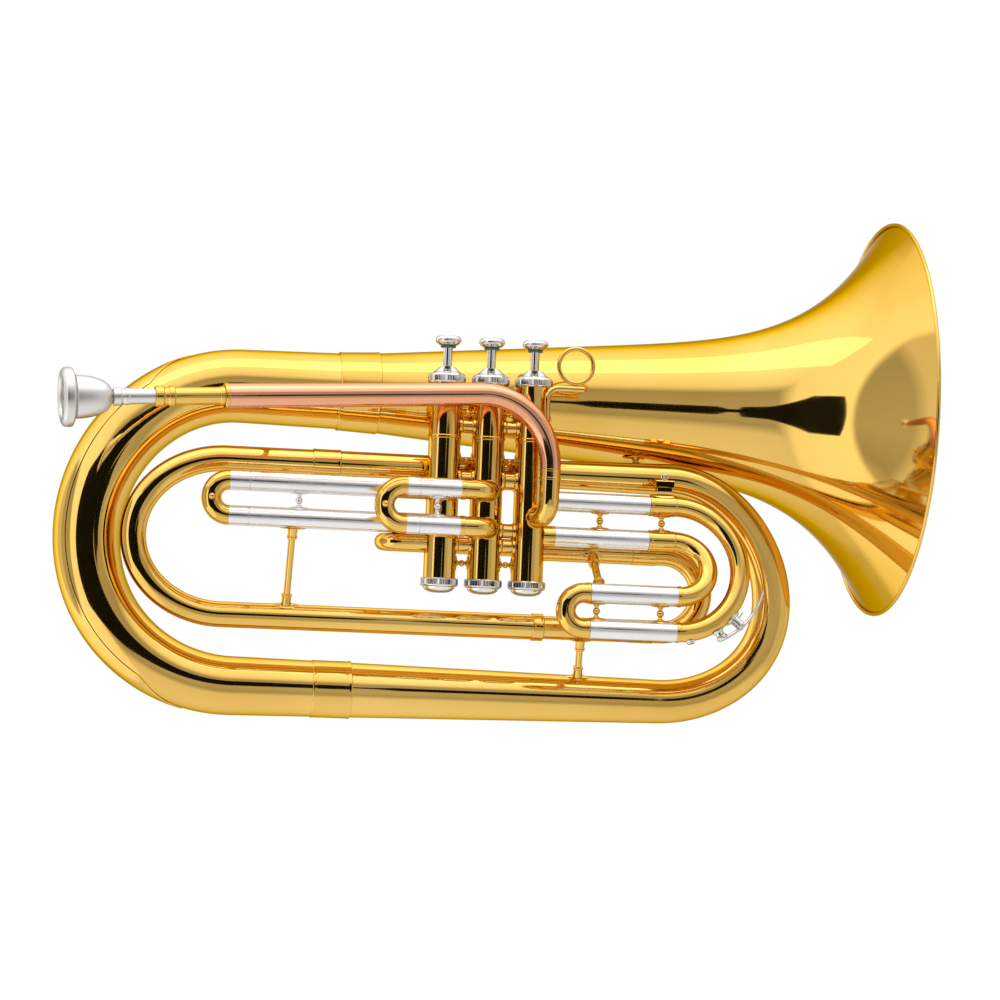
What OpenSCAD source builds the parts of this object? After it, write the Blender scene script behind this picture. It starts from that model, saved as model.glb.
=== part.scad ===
// Marching euphonium with three piston valves, bell pointing forward.
// +X runs along the bell axis towards the bell, +Z is up along the valve stems,
// +Y points to the bell side of the valves. The origin is the middle of the valve cluster,
// on the axis of the second valve, where the right hand closes round the casings.
// All sizes are in millimetres.

/* [Valves] */
// Distance between neighbouring valve axes
valve_pitch = 30; // [29.6:0.1:30.6]
// Outside diameter of a valve casing
casing_d = 21.8; // [21.4:0.1:22]
// Wall thickness of a valve casing
casing_wall = 1.2; // [1:0.1:1.3]
// Height of the casing top above the origin
casing_top = 64; // [63:0.5:65]
// Depth of the casing bottom below the origin
casing_bottom = 73; // [72.5:0.5:74]
// Diameter of the top and bottom cap flanges
cap_d = 25.8; // [25.2:0.1:26.6]
// Travel of a finger button
valve_stroke = 12.5; // [10:0.5:12.5]
// Diameter of a finger button
button_d = 17.7; // [15:0.1:20]
// Diameter of a valve stem
stem_d = 6.2; // [5:0.1:6.6]

/* [Valve slides] */
// Outside diameter of the outer slide tubes
sleeve_d = 13.6; // [13.2:0.1:13.8]
// Wall thickness of the outer slide tubes
sleeve_wall = 0.6; // [0.5:0.05:0.7]
// Spacing of the two legs of the first slide
first_gap = 23.6; // [23:0.1:23.8]
// Spacing of the two legs of the second slide
second_gap = 25; // [24:0.1:25.5]
// Spacing of the two legs in each pair of the third slide
third_gap = 24; // [23.5:0.1:24.5]
// How far the second slide stands in front of the valve axes
second_front = 22; // [21:0.5:24]
// How far the third slide's pull crook stands in front of the valve axes
third_front = 21; // [20.5:0.5:23]

/* [Main tubing] */
// Distance of the middle tubing plane behind the valve axes
mid_back = 21.5; // [21.5:0.5:22]
// Height of the upper middle tube
mid_top_z = 5.5; // [5:0.5:6]
// Depth of the lower middle tube
mid_low_z = 100; // [99:0.5:101]
// Diameter of the middle tube
mid_d = 17.8; // [17:0.2:18.4]
// Outside diameter of the tuning slide's outer tubes
tuning_d = 15.8; // [15.2:0.2:16]
// Depth of the tube that leaves the first valve
outlet_z = 46.4; // [46.4:0.2:47.2]
// Depth of the large bottom tube
bottom_z = 148; // [147:0.5:150]
// Distance of the large bottom tube behind the valve axes
bottom_back = 40; // [38:0.5:44]
// Diameter of the large bow where it meets the bottom tube
bow_small_d = 38; // [36:0.5:39]
// Diameter of the large bow where it meets the bell
bow_large_d = 53; // [52:0.2:54]
// Wall thickness of the large tubing
tube_wall = 0.8; // [0.6:0.1:1]

/* [Bell] */
// Distance of the bell axis behind the valve axes
bell_back = 51; // [51:0.5:53]
// Height of the bell axis
bell_z = 57.5; // [57:0.5:58]
// Diameter of the bell rim
rim_d = 279; // [272:1:282]
// Distance of the bell rim in front of the origin
rim_x = 290.5; // [288:0.5:294]

/* [Leadpipe and mouthpiece] */
// Rise of the leadpipe towards the valves, in degrees
lead_rise = 3.9; // [3.5:0.1:4.3]
// Turn of the leadpipe's far end away from the bell, in degrees
lead_turn = 7; // [6:0.5:9]
// Radius of the leadpipe's bend
lead_bend = 47; // [45:0.5:48]
// Length of the straight leadpipe from its bend to the receiver
lead_straight = 174; // [170:1:178]
// Length of the mouthpiece receiver
receiver_len = 46; // [42:1:48]
// Rim diameter of the mouthpiece
mouth_rim_d = 38.8; // [36:0.2:41]
// Throat diameter of the mouthpiece
throat_d = 6.4; // [5.4:0.1:7]

/* [Fittings] */
// Diameter of the long stays
stay_d = 4.6; // [4:0.1:5.2]
// Outside diameter of the finger ring
ring_d = 26.6; // [25:0.2:28]
// Wire diameter of the finger ring
ring_wire = 3; // [2.4:0.1:3.4]
// Diameter of the lyre socket
lyre_bore = 5.2; // [4.6:0.1:5.6]

/* [Hidden] */
$fn = 48;

// Colours
lacquer = "goldenrod";
rose = "lightsalmon";
nickel = "silver";
plate = "gainsboro";

// Clearances
slide_fit = 0.04;
piston_fit = 0.05;
stem_fit = 0.08;
face_gap = 0.2;
solder_gap = 0.05;

// Valve heights
casing_r = casing_d / 2;
bore_r = casing_r - casing_wall;
cap_r = cap_d / 2;
piston_r = bore_r - piston_fit;
piston_low = -54;
piston_high = 50;
cap_top = 74;
button_low = cap_top + valve_stroke + 1.7;
stem_r = stem_d / 2;
belt_z = 26;
port_r = 5.2;
passage_r = 4;

// Slide levels
sleeve_r = sleeve_d / 2;
inner_r = sleeve_r - sleeve_wall - slide_fit;
inner_wall = 0.5;
bow_r = sleeve_r - 0.1;
first_z = -10;
second_z = -10;
third_z = -14;
third_low_z = -76;
first_end = -160.4;
first_ferrule = 13.4;
second_end = -48;
second_ferrule = 8.6;
second_bow_x = -59.3;
third_bend_x = 131.5;
third_pull_x = 70.4;
third_bow_x = 66;
third_ferrule_x = 113;
tuning_r = tuning_d / 2;
tuning_inner_r = tuning_r - 0.7 - slide_fit;
tuning_start = 46;
tuning_end = 106;
tuning_bow_x = 129;
mid_r = mid_d / 2;

// Large tubing stations along X
bell_start = -85;
large_bow_x = -165;
bottom_joint = -96;
right_bow_x = 131;
mid_joint = 4;
mid_bow_x = -175;
mid_bow_reach = 61;
bow_skew = 1.5;
bow_stretch = 0.98;
branch_skew = 4.5;
mid_bow_joint = -107;

// Bell flare: a slow cone plus a power curve over the last stretch
bell_start_r = bow_large_d / 2;
bell_slope = 0.0885;
flare_len = 260;
flare_power = 5.4;
rim_wire_r = 1.3;
bell_end = rim_x - rim_wire_r;
bell_end_r = rim_d / 2 - 2 * rim_wire_r - solder_gap;
flare_r = bell_end_r - bell_start_r - bell_slope * (bell_end - bell_start);
bell_steps = 36;

// Directions of the leadpipe: along it, and level with it
lead_level = [cos(lead_turn), sin(lead_turn), 0];
lead_dir = lead_level * cos(lead_rise) + [0, 0, sin(lead_rise)];
lead_side = [-sin(lead_turn), cos(lead_turn), 0];
port_angle = 17;
port_reach = 29.3;
port_z = -26.5;
port_dir = [sin(port_angle), -cos(port_angle), 0];
drop = [valve_pitch, 0, 0] + port_dir * port_reach;
elbow_r = 13;
elbow_tube_r = 6.8;
lead_low = 6.5;
lead_r_valve = 7;
lead_r_mid = 7.8;
lead_r_mouth = 8.2;
bend_centre = drop + [0, 0, lead_low] - lead_level * lead_bend;
bend_start = bend_centre + lead_bend * (-sin(lead_rise) * lead_level + cos(lead_rise) * [0, 0, 1]);
receiver_end = bend_start - lead_dir * lead_straight;
receiver_mouth = receiver_end - lead_dir * receiver_len;
shank_visible = 61;
shank_inside = 24;
mouth_face = receiver_mouth - lead_dir * shank_visible;

// Third slide's tilted bends
outer_low_z = third_low_z - third_gap;
outer_centre = [third_bend_x, -third_front / 2, (third_z + outer_low_z) / 2];
outer_up = [0, third_front, third_z - outer_low_z];
outer_bend_r = norm(outer_up) / 2;
outer_tilt = atan2(third_front, third_z - outer_low_z);
inner_top_z = third_z - third_gap;
inner_up = [0, third_front, inner_top_z - third_low_z];
inner_centre = [third_bend_x, -third_front / 2, (inner_top_z + third_low_z) / 2];
inner_bend_r = norm(inner_up) / 2;
inner_tilt = atan2(third_front, inner_top_z - third_low_z);

// Water key: angles round the third slide's outer bend, and heights above its centre
key_pad_angle = -56.5;
key_pivot_angle = -41;
key_touch_angle = -12;
key_pivot_r = 58.2;
key_touch_r = 61.5;
key_width = 4.6;
pin_r = 1.1;
pin_fit = 0.06;
ear_t = 1.6;

// A unit vector
function unit(v) = v / norm(v);

// Radius of the bell at distance x along its axis
function bell_r(x) =
    bell_start_r + bell_slope * (x - bell_start) + flare_r * pow(max(0, 1 - (bell_end - x) / flare_len), flare_power);

// Slope of the bell wall at distance x
function bell_grade(x) = (bell_r(x + 0.5) - bell_r(x - 0.5));

// Stations along the bell, closer together towards the rim
function bell_x(i) =
    let (t = i / bell_steps)
    bell_start + (bell_end - bell_start) * (1 - pow(1 - t, 1.6));

// Rings of a U-shaped tube: [centre, radius]. It runs from xa to the bow's centre xc at the level
// [y, z] p, round a half turn that bulges along dir, and back to xb at the level q. The half turn is
// a circle, drawn out along X by stretch and pushed out by skew on the side of p.
function u_rings(xa, xc, xb, p, q, dir, ra, rb, steps, stretch = 1, skew = 0) =
    let (
        half = (q - p) / 2,
        arc_r = norm(half),
        first = abs(xa - xc),
        last = abs(xb - xc),
        total = first + PI * arc_r + last
    )
    concat(
        [[[xa, p[0], p[1]], ra]],
        [for (i = [0:steps])
            let (
                turn = 180 * i / steps,
                level = (p + q) / 2 - half * cos(turn),
                share = (first + PI * arc_r * i / steps) / total
            )
            [[xc + dir * (arc_r * stretch * sin(turn) + skew * sin(2 * turn)), level[0], level[1]],
                ra + (rb - ra) * share]],
        [[[xb, q[0], q[1]], rb]]
    );

// Thin-walled tube through rings that lie in one plane with the given normal
module ring_tube(rings, normal, wall, sides) {
    count = len(rings);
    function direction(i) = unit(rings[min(i + 1, count - 1)][0] - rings[max(i - 1, 0)][0]);
    function rim(i, r) =
        let (side = cross(direction(i), normal))
        [for (j = [0:sides - 1])
            rings[i][0] + r * (cos(360 * j / sides) * normal + sin(360 * j / sides) * side)];
    points = [for (i = [0:count - 1]) each concat(rim(i, rings[i][1]), rim(i, rings[i][1] - wall))];
    function outer(i, j) = i * 2 * sides + j % sides;
    function inner(i, j) = outer(i, j) + sides;
    last = count - 1;
    faces = concat(
        [for (i = [0:last - 1], j = [0:sides - 1]) each [
            [outer(i, j), outer(i + 1, j), outer(i + 1, j + 1)],
            [outer(i, j), outer(i + 1, j + 1), outer(i, j + 1)],
            [inner(i, j), inner(i + 1, j + 1), inner(i + 1, j)],
            [inner(i, j), inner(i, j + 1), inner(i + 1, j + 1)]
        ]],
        [for (j = [0:sides - 1]) each [
            [outer(0, j), outer(0, j + 1), inner(0, j + 1)],
            [outer(0, j), inner(0, j + 1), inner(0, j)],
            [outer(last, j), inner(last, j + 1), outer(last, j + 1)],
            [outer(last, j), inner(last, j), inner(last, j + 1)]
        ]]
    );
    polyhedron(points, faces);
}

// Turns the +Z axis to point along v
module point_along(v) {
    rotate([0, acos(v[2] / norm(v)), atan2(v[1], v[0])]) children();
}

// Solid rod between two points
module rod(a, b, r) {
    translate(a) point_along(b - a) cylinder(h = norm(b - a), r = r);
}

// Tube along X
module x_tube(x0, x1, y, z, r, wall) {
    translate([x0, y, z]) rotate([0, 90, 0]) difference() {
        cylinder(h = x1 - x0, r = r);
        translate([0, 0, -1]) cylinder(h = x1 - x0 + 2, r = r - wall);
    }
}

// Half-circle tube in the X-Z plane that bulges towards -X, with its centre at the origin
module left_bow(bend, r, wall) {
    rotate([90, 0, 0]) rotate([0, 0, 90]) rotate_extrude(angle = 180) translate([bend, 0]) difference() {
        circle(r = r);
        circle(r = r - wall);
    }
}

// Brace between two facing surfaces: a ball on a neck between two thin oval pads
module ball_brace(a, b, pad = 3.6) {
    span = norm(b - a);
    pad_t = 0.8;
    translate(a) point_along(b - a) {
        cylinder(h = pad_t, r = pad);
        translate([0, 0, pad_t]) cylinder(h = 1, r1 = pad * 0.7, r2 = 1.5);
        cylinder(h = span, r = 1.5);
        translate([0, 0, span / 2]) sphere(r = 2.5);
        translate([0, 0, span - pad_t - 1]) cylinder(h = 1, r1 = 1.5, r2 = pad * 0.7);
        translate([0, 0, span - pad_t]) cylinder(h = pad_t, r = pad);
    }
}

// Long stay: a post with a collar and a round foot at each end
module stay(a, b, r = stay_d / 2) {
    span = norm(b - a);
    socket = min(7, span / 3);
    translate(a) point_along(b - a) {
        cylinder(h = span, r = r);
        cylinder(h = 0.8, r = r * 2.1);
        cylinder(h = socket, r = r * 1.35);
        translate([0, 0, span - socket]) cylinder(h = socket, r = r * 1.35);
        translate([0, 0, span - 0.8]) cylinder(h = 0.8, r = r * 2.1);
    }
}

// Position of valve number n
function valve_x(n) = (n - 2) * valve_pitch;

module at_valve(n) {
    translate([valve_x(n), 0, 0]) children();
}

// Cylinder that cuts a casing's outside shape out of a tube that meets it
module casing_cut(n) {
    at_valve(n) translate([0, 0, -casing_bottom - 5]) cylinder(h = casing_bottom + casing_top + 10, r = casing_r + solder_gap);
}

// ---------- Bell and large tubing ----------

module bell() {
    outer = [for (i = [0:bell_steps]) [bell_r(bell_x(i)), bell_x(i)]];
    inner = [for (i = [bell_steps:-1:0])
        let (x = bell_x(i), grade = bell_grade(x), k = tube_wall / sqrt(1 + grade * grade))
        [bell_r(x) - k, min(x + (i == 0 ? 0 : k * grade), bell_end)]];
    color(lacquer) translate([0, bell_back, bell_z]) rotate([0, 90, 0]) rotate_extrude($fn = 96) polygon(concat(outer, inner));
}

module bell_rim_wire() {
    color(lacquer) translate([bell_end, bell_back, bell_z]) rotate([0, 90, 0])
        rotate_extrude($fn = 96) translate([rim_d / 2 - rim_wire_r, 0]) circle(r = rim_wire_r, $fn = 24);
}

module large_bow() {
    low = [bottom_back, -bottom_z];
    high = [bell_back, bell_z];
    rings = u_rings(bottom_joint, large_bow_x, bell_start - face_gap, low, high, -1, bow_small_d / 2,
        bell_start_r, 18, bow_stretch, bow_skew);
    color(lacquer) ring_tube(rings, unit([0, high[1] - low[1], low[0] - high[0]]), tube_wall, 28);
}

module bottom_branch() {
    low = [bottom_back, -bottom_z];
    high = [mid_back, mid_top_z];
    rings = u_rings(bottom_joint + face_gap, right_bow_x, mid_joint, low, high, 1,
        bow_small_d / 2, mid_r, 16, 1, branch_skew);
    color(lacquer) ring_tube(rings, unit([0, high[1] - low[1], low[0] - high[0]]), tube_wall, 28);
}

module upper_mid_tube() {
    color(lacquer) x_tube(mid_bow_joint + face_gap, mid_joint - face_gap, mid_back, mid_top_z, mid_r, tube_wall);
}

module mid_bow() {
    bend = (mid_top_z + mid_low_z) / 2;
    rings = u_rings(tuning_start - face_gap, mid_bow_x, mid_bow_joint, [mid_back, -mid_low_z],
        [mid_back, mid_top_z], -1, mid_r - 0.3, mid_r, 16, mid_bow_reach / bend);
    color(lacquer) ring_tube(rings, [0, 1, 0], tube_wall, 24);
}

module ferrule(x0, x1, y, z, r) {
    x_tube(x0, x1, y, z, r, 0.7);
}

module body_ferrules() {
    color(lacquer) {
        ferrule(-99, -71, bell_back, bell_z, bell_start_r + 2.1);
        ferrule(-110, -83, bottom_back, -bottom_z, bow_small_d / 2 + 0.9);
        ferrule(-117, -98, mid_back, mid_top_z, mid_r + 0.8);
        ferrule(-6, 14, mid_back, mid_top_z, mid_r + 1.3);
        ferrule(38, tuning_start - face_gap, mid_back, -mid_low_z, mid_r + 0.8);
    }
}

module outlet_tube() {
    turn = mid_back / 2;
    start = -57;
    r = 5.9;
    color(lacquer) {
        difference() {
            x_tube(start, valve_x(1) - 5, 0, -outlet_z, r, 0.6);
            casing_cut(1);
        }
        translate([start, turn, -outlet_z]) rotate([90, 0, 0]) left_bow(turn, r, 0.6);
        x_tube(start, tuning_start + 4, mid_back, -outlet_z, r, 0.6);
    }
}

module tuning_sleeves() {
    color(nickel) {
        x_tube(tuning_start, tuning_end, mid_back, -outlet_z, tuning_r, 0.7);
        x_tube(tuning_start, tuning_end, mid_back, -mid_low_z, tuning_r, 0.7);
    }
    color(lacquer) x_tube(tuning_start - 6, tuning_start, mid_back, -outlet_z, tuning_r, tuning_r - 6);
}

module tuning_crook() {
    bend = (mid_low_z - outlet_z) / 2;
    color(lacquer) {
        for (z = [-outlet_z, -mid_low_z])
            x_tube(tuning_end + face_gap, tuning_bow_x, mid_back, z, tuning_r, 1.2);
        translate([tuning_bow_x, mid_back, -outlet_z - bend]) mirror([1, 0, 0]) left_bow(bend, tuning_r - 0.2, 1);
    }
    color(nickel) for (z = [-outlet_z, -mid_low_z])
        x_tube(tuning_end - 48, tuning_end + 8, mid_back, z, tuning_inner_r, 0.55);
}

// ---------- Leadpipe and mouthpiece ----------

// Radius of the leadpipe where its direction has turned down to the given angle
function lead_arc_r(a) = lead_r_valve + (lead_r_mid - lead_r_valve) * (a + 90) / (lead_rise + 90);

module leadpipe() {
    steps = 12;
    arc = [for (i = [0:steps])
        let (a = lead_rise - (lead_rise + 90) * i / steps)
        [bend_centre + lead_bend * (-sin(a) * lead_level + cos(a) * [0, 0, 1]), lead_arc_r(a)]];
    color(rose) ring_tube(concat([[receiver_end, lead_r_mouth]], arc, [[drop + [0, 0, lead_low - 0.5], lead_r_valve]]),
        lead_side, tube_wall, 24);
}

module lead_elbow() {
    r = elbow_tube_r;
    wall = 0.8;
    run = port_reach - elbow_r;
    top = lead_low - 0.7 - port_z;
    color(lacquer) translate([valve_pitch, 0, port_z]) rotate([0, 0, port_angle - 90]) difference() {
        union() {
            x_tube(5, run, 0, 0, r, wall);
            translate([run, 0, elbow_r]) rotate([90, 0, 0]) rotate([0, 0, -90]) rotate_extrude(angle = 90)
                translate([elbow_r, 0]) difference() {
                    circle(r = r);
                    circle(r = r - wall);
                }
            translate([port_reach, 0, elbow_r]) difference() {
                union() {
                    cylinder(h = top - elbow_r, r = r);
                    translate([0, 0, top - elbow_r - 8]) cylinder(h = 1.4, r = r + 0.5);
                }
                translate([0, 0, -1]) cylinder(h = top - elbow_r + 2, r = r - wall);
            }
        }
        translate([0, 0, -10]) cylinder(h = 20, r = casing_r + solder_gap);
    }
}

module mouthpiece_receiver() {
    taper_in = shank_inside + 1;
    color(lacquer) translate(receiver_mouth) point_along(lead_dir) difference() {
        union() {
            cylinder(h = receiver_len - 0.1, r = 5.8);
            cylinder(h = 5.6, r = 6.9);
            translate([0, 0, 9]) cylinder(h = 3.6, r = 6.9);
            translate([0, 0, 5.6]) cylinder(h = 3.4, r = 6.1);
            translate([0, 0, receiver_len - 3]) cylinder(h = 2.9, r = 6.4);
        }
        translate([0, 0, -1]) cylinder(h = taper_in + 1, r1 = 4.93, r2 = 4.52);
        translate([0, 0, taper_in - 1]) cylinder(h = receiver_len, r = 4.3);
    }
}

module mouthpiece() {
    half = mouth_rim_d / 2;
    cup_r = 14.1;
    cup_len = 24;
    rim_t = 9;
    bowl_r = 12.6;
    bowl_len = 20;
    steps = 10;
    bowl = [for (i = [0:steps]) let (a = 90 * i / steps) [2.6 + (cup_r - 2.6) * cos(a), rim_t + cup_len * sin(a)]];
    hollow = [for (i = [0:steps])
        let (a = 90 * i / steps)
        [throat_d / 2 + (bowl_r - throat_d / 2) * sin(a), 1.6 + bowl_len * cos(a)]];
    shank_end = shank_visible + shank_inside;
    outline = concat(
        [[14.2, 0.2], [16.2, 0], [18.2, 0.7], [half - 0.3, 2], [half, 3.2], [half, 6.4], [half - 1.8, rim_t - 0.8], [cup_r + 0.4, rim_t]],
        bowl,
        [[4.6, rim_t + cup_len], [5.9, 34], [5.9, 38.6], [4.9, 39.2], [4.9, 40.6], [5.6, 41.2], [5.6, 43.6],
            [5.25, 44.2], [4.86, shank_visible], [4.45, shank_end], [3.7, shank_end]],
        [[throat_d / 2 + 0.3, 1.6 + bowl_len + 14]],
        hollow,
        [[13, 1]]
    );
    color(plate) translate(mouth_face) point_along(lead_dir) rotate_extrude() polygon(outline);
}

// ---------- Valves ----------

// Places a port cylinder at height z pointing at angle a round the valve, 0 being +X
module port(z, a) {
    translate([0, 0, z]) rotate([0, 0, a]) rotate([0, 90, 0]) cylinder(h = casing_r + 5, r = port_r);
}

// Ports of each valve as [height, angle]
ports = [
    [[first_z, 180], [first_z - first_gap, 180], [-outlet_z, 180], [-2, 0], [-outlet_z, 0]],
    [[second_z, -90], [second_z - second_gap, -90], [-2, 180], [-outlet_z, 180], [-2, 0], [-36, 0]],
    [[port_z, port_angle - 90], [third_z, 0], [third_z - third_gap, 0], [-2, 180], [-36, 180]]
];

module valve_casing(n) {
    color(lacquer) at_valve(n) difference() {
        union() {
            translate([0, 0, -casing_bottom]) cylinder(h = casing_bottom + casing_top, r = casing_r);
            translate([0, 0, belt_z - 0.7]) cylinder(h = 1.4, r = casing_r + 0.5);
        }
        translate([0, 0, -casing_bottom - 1]) cylinder(h = casing_bottom + casing_top + 2, r = bore_r);
        for (p = ports[n - 1]) port(p[0], p[1]);
    }
}

module top_cap(n) {
    skirt = 62.4;
    color(plate) at_valve(n) difference() {
        rotate_extrude() polygon([
            [casing_r + solder_gap, skirt], [cap_r - 1.2, skirt], [cap_r, skirt + 1.4], [cap_r, skirt + 4.6],
            [cap_r - 1, skirt + 6.2], [cap_r - 3.4, skirt + 8], [7.4, skirt + 9.8], [5.2, skirt + 11.2], [4.8, cap_top],
            [stem_r + stem_fit, cap_top], [stem_r + stem_fit, casing_top + 4], [bore_r, casing_top + 2],
            [bore_r, casing_top + 0.1], [casing_r + solder_gap, casing_top + 0.1]
        ]);
    }
}

module bottom_cap(n) {
    edge = 69.6;
    rim_low = 75;
    dome = 4.6;
    steps = 6;
    curve = [for (i = [0:steps]) let (a = 90 * i / steps) [1.2 + (cap_r - 2.4) * cos(a), -rim_low - dome * sin(a)]];
    color(plate) at_valve(n) rotate_extrude() polygon(concat(
        [[casing_r + solder_gap, -edge], [cap_r - 0.7, -edge], [cap_r, -edge - 0.8], [cap_r, -rim_low + 0.8], [cap_r - 0.6, -rim_low]],
        curve,
        [[1.2, -casing_bottom - 4.4], [8.6, -casing_bottom - 4.4], [8.6, -casing_bottom - 0.1],
            [casing_r + solder_gap, -casing_bottom - 0.1]]
    ));
}

// Straight air passage through a piston between two points on its wall
module passage(a, b) {
    reach = unit(b - a) * 3;
    rod(a - reach, b + reach, passage_r);
}

// Point on a piston's wall at height z and angle a
function wall_at(z, a) = [piston_r * cos(a), piston_r * sin(a), z];

// Passages of each piston: the open one, and the two that the valve slide is reached through
passages = [
    [[-outlet_z, 0, -outlet_z, 180], [-2, 0, first_z + 12.5, 180], [-34, 0, -34, 180]],
    [[-36, 0, -outlet_z, 180], [-2, 0, second_z + 10, -90], [-22, -90, -22, 180]],
    [[port_z, port_angle - 90, -36, 180], [-2, 0, -2, 180], [-14, 0, -14, -90]]
];

module piston(n) {
    crown = 2;
    chamber = 5;
    color(nickel) at_valve(n) difference() {
        translate([0, 0, piston_low]) cylinder(h = piston_high - piston_low, r = piston_r);
        translate([0, 0, chamber + 6]) cylinder(h = piston_high - chamber - 6 - crown, r = piston_r - 1);
        translate([0, 0, piston_low - 1]) cylinder(h = 3, r = piston_r - 1);
        for (p = passages[n - 1]) passage(wall_at(p[0], p[1]), wall_at(p[2], p[3]));
    }
}

module valve_stem(n) {
    color(plate) at_valve(n) {
        translate([0, 0, piston_high + 0.05]) cylinder(h = 2, r = 5.4);
        translate([0, 0, piston_high + 0.05]) cylinder(h = button_low - piston_high - 0.1, r = stem_r);
    }
}

module finger_button(n) {
    half = button_d / 2;
    color(plate) at_valve(n) translate([0, 0, button_low]) rotate_extrude() polygon([
        [0, 0], [half - 2.8, 0], [half - 1, 1.5], [half - 0.1, 2.6], [half, 3.6], [half - 0.2, 4.7],
        [half - 0.9, 5.7], [half - 1.9, 6.3], [half - 3, 6.5], [half - 4.4, 6.2], [0, 5.7]
    ]);
}

module button_felt(n) {
    color("darkgreen") at_valve(n) translate([0, 0, button_low - 1.55]) difference() {
        cylinder(h = 1.5, r = 5.2);
        translate([0, 0, -1]) cylinder(h = 4, r = stem_r + 0.02);
    }
}

module valve_spring(n) {
    turns = 6;
    per_turn = 12;
    wire = 0.45;
    coil = 7;
    low = -casing_bottom - 4.3 + wire;
    high = piston_low + 1.9 - wire;
    sides = 6;
    count = turns * per_turn;
    function centre(i) = [coil * cos(360 * i / per_turn), coil * sin(360 * i / per_turn), low + (high - low) * i / count];
    points = [for (i = [0:count], j = [0:sides - 1])
        let (out = [cos(360 * i / per_turn), sin(360 * i / per_turn), 0])
        centre(i) + wire * (cos(360 * j / sides) * out + [0, 0, sin(360 * j / sides)])];
    faces = concat(
        [for (i = [0:count - 1], j = [0:sides - 1])
            let (a = i * sides + j, b = i * sides + (j + 1) % sides)
            each [[a, b, b + sides], [a, b + sides, a + sides]]],
        [[for (j = [sides - 1:-1:0]) j], [for (j = [0:sides - 1]) count * sides + j]]
    );
    color(nickel) at_valve(n) polyhedron(points, faces);
}

module valve_knuckles() {
    color(lacquer) {
        for (z = [first_z, first_z - first_gap]) difference() {
            x_tube(-59 + 0.1, valve_x(1) - 5, 0, z, sleeve_r, 1);
            casing_cut(1);
        }
        for (z = [third_z, third_z - third_gap]) difference() {
            x_tube(valve_x(3) + 5, 46, 0, z, sleeve_r, 1);
            casing_cut(3);
        }
        shared = [[belt_z + 8, 4.6], [-2, 6.2], [-outlet_z, 5]];
        for (gap = [1, 2]) for (k = gap == 2 ? concat(shared, [[-36, 4.9]]) : shared) difference() {
            x_tube(valve_x(gap) + 5, valve_x(gap + 1) - 5, 0, k[0], k[1], 0.8);
            casing_cut(gap);
            casing_cut(gap + 1);
        }
    }
}

module second_elbows() {
    bend = second_front - casing_r;
    color(lacquer) for (z = [second_z, second_z - second_gap]) difference() {
        union() {
            x_tube(-19.4, -bend, -second_front, z, sleeve_r, 1);
            translate([-bend, -second_front + bend, z]) rotate([0, 0, -90]) rotate_extrude(angle = 90)
                translate([bend, 0]) difference() {
                    circle(r = sleeve_r);
                    circle(r = sleeve_r - 1);
                }
        }
        casing_cut(2);
    }
}

module valve_braces() {
    reach = casing_r + solder_gap;
    color(lacquer) for (gap = [1, 2]) for (z = [belt_z + 17, belt_z - 15, -59])
        ball_brace([valve_x(gap) + reach, 0, z], [valve_x(gap + 1) - reach, 0, z], 3.2);
}

// ---------- Valve slides ----------

// Inner tube of a slide leg
module slide_leg(x0, x1, y, z) {
    x_tube(x0, x1, y, z, inner_r, inner_wall);
}

// Small pull knob standing out towards the front
module pull_knob(x, y, z) {
    rod([x, y, z], [x, y - 2.2, z], 1);
    translate([x, y - 3.2, z]) sphere(r = 1.9);
}

module first_sleeves() {
    color(nickel) for (z = [first_z, first_z - first_gap])
        x_tube(first_end, -59, 0, z, sleeve_r, sleeve_wall);
}

module first_crook() {
    start = first_end - face_gap - first_ferrule;
    mid = first_z - first_gap / 2;
    color(lacquer) {
        translate([start, 0, mid]) left_bow(first_gap / 2, bow_r, 1);
        pull_knob(start - first_gap / 2, -bow_r + 0.3, mid);
    }
    color(nickel) for (z = [first_z, first_z - first_gap]) {
        x_tube(start, first_end - face_gap, 0, z, sleeve_r, 1.4);
        slide_leg(start + 2, -76, 0, z);
    }
}

module second_sleeves() {
    color(nickel) for (z = [second_z, second_z - second_gap])
        x_tube(second_end, -19.6, -second_front, z, sleeve_r, sleeve_wall);
}

module second_crook() {
    ferrule_start = second_end - face_gap - second_ferrule;
    mid = second_z - second_gap / 2;
    color(lacquer) {
        translate([second_bow_x, -second_front, mid]) left_bow(second_gap / 2, bow_r, 1);
        for (z = [second_z, second_z - second_gap])
            x_tube(second_bow_x, ferrule_start, -second_front, z, bow_r, 1);
        pull_knob(second_bow_x - second_gap / 2, -second_front - bow_r + 0.3, mid);
    }
    color(nickel) for (z = [second_z, second_z - second_gap]) {
        x_tube(ferrule_start, second_end - face_gap, -second_front, z, sleeve_r, 1.4);
        slide_leg(ferrule_start + 2, -21, -second_front, z);
    }
}

module third_sleeves() {
    color(nickel) {
        for (z = [third_z, third_z - third_gap])
            x_tube(46.1, third_ferrule_x - 0.1, 0, z, sleeve_r, sleeve_wall);
        for (z = [third_low_z, third_low_z - third_gap])
            x_tube(third_pull_x, third_bend_x - 0.1, -third_front, z, sleeve_r, sleeve_wall);
    }
}

module third_crook() {
    end = third_pull_x - face_gap;
    mid = third_low_z - third_gap / 2;
    color(lacquer) {
        translate([third_bow_x, -third_front, mid]) left_bow(third_gap / 2, bow_r, 1);
        for (z = [third_low_z, third_low_z - third_gap])
            x_tube(third_bow_x, end, -third_front, z, bow_r, 1);
    }
    color(nickel) for (z = [third_low_z, third_low_z - third_gap])
        slide_leg(third_bow_x + 1, third_bend_x - 4, -third_front, z);
}

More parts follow.
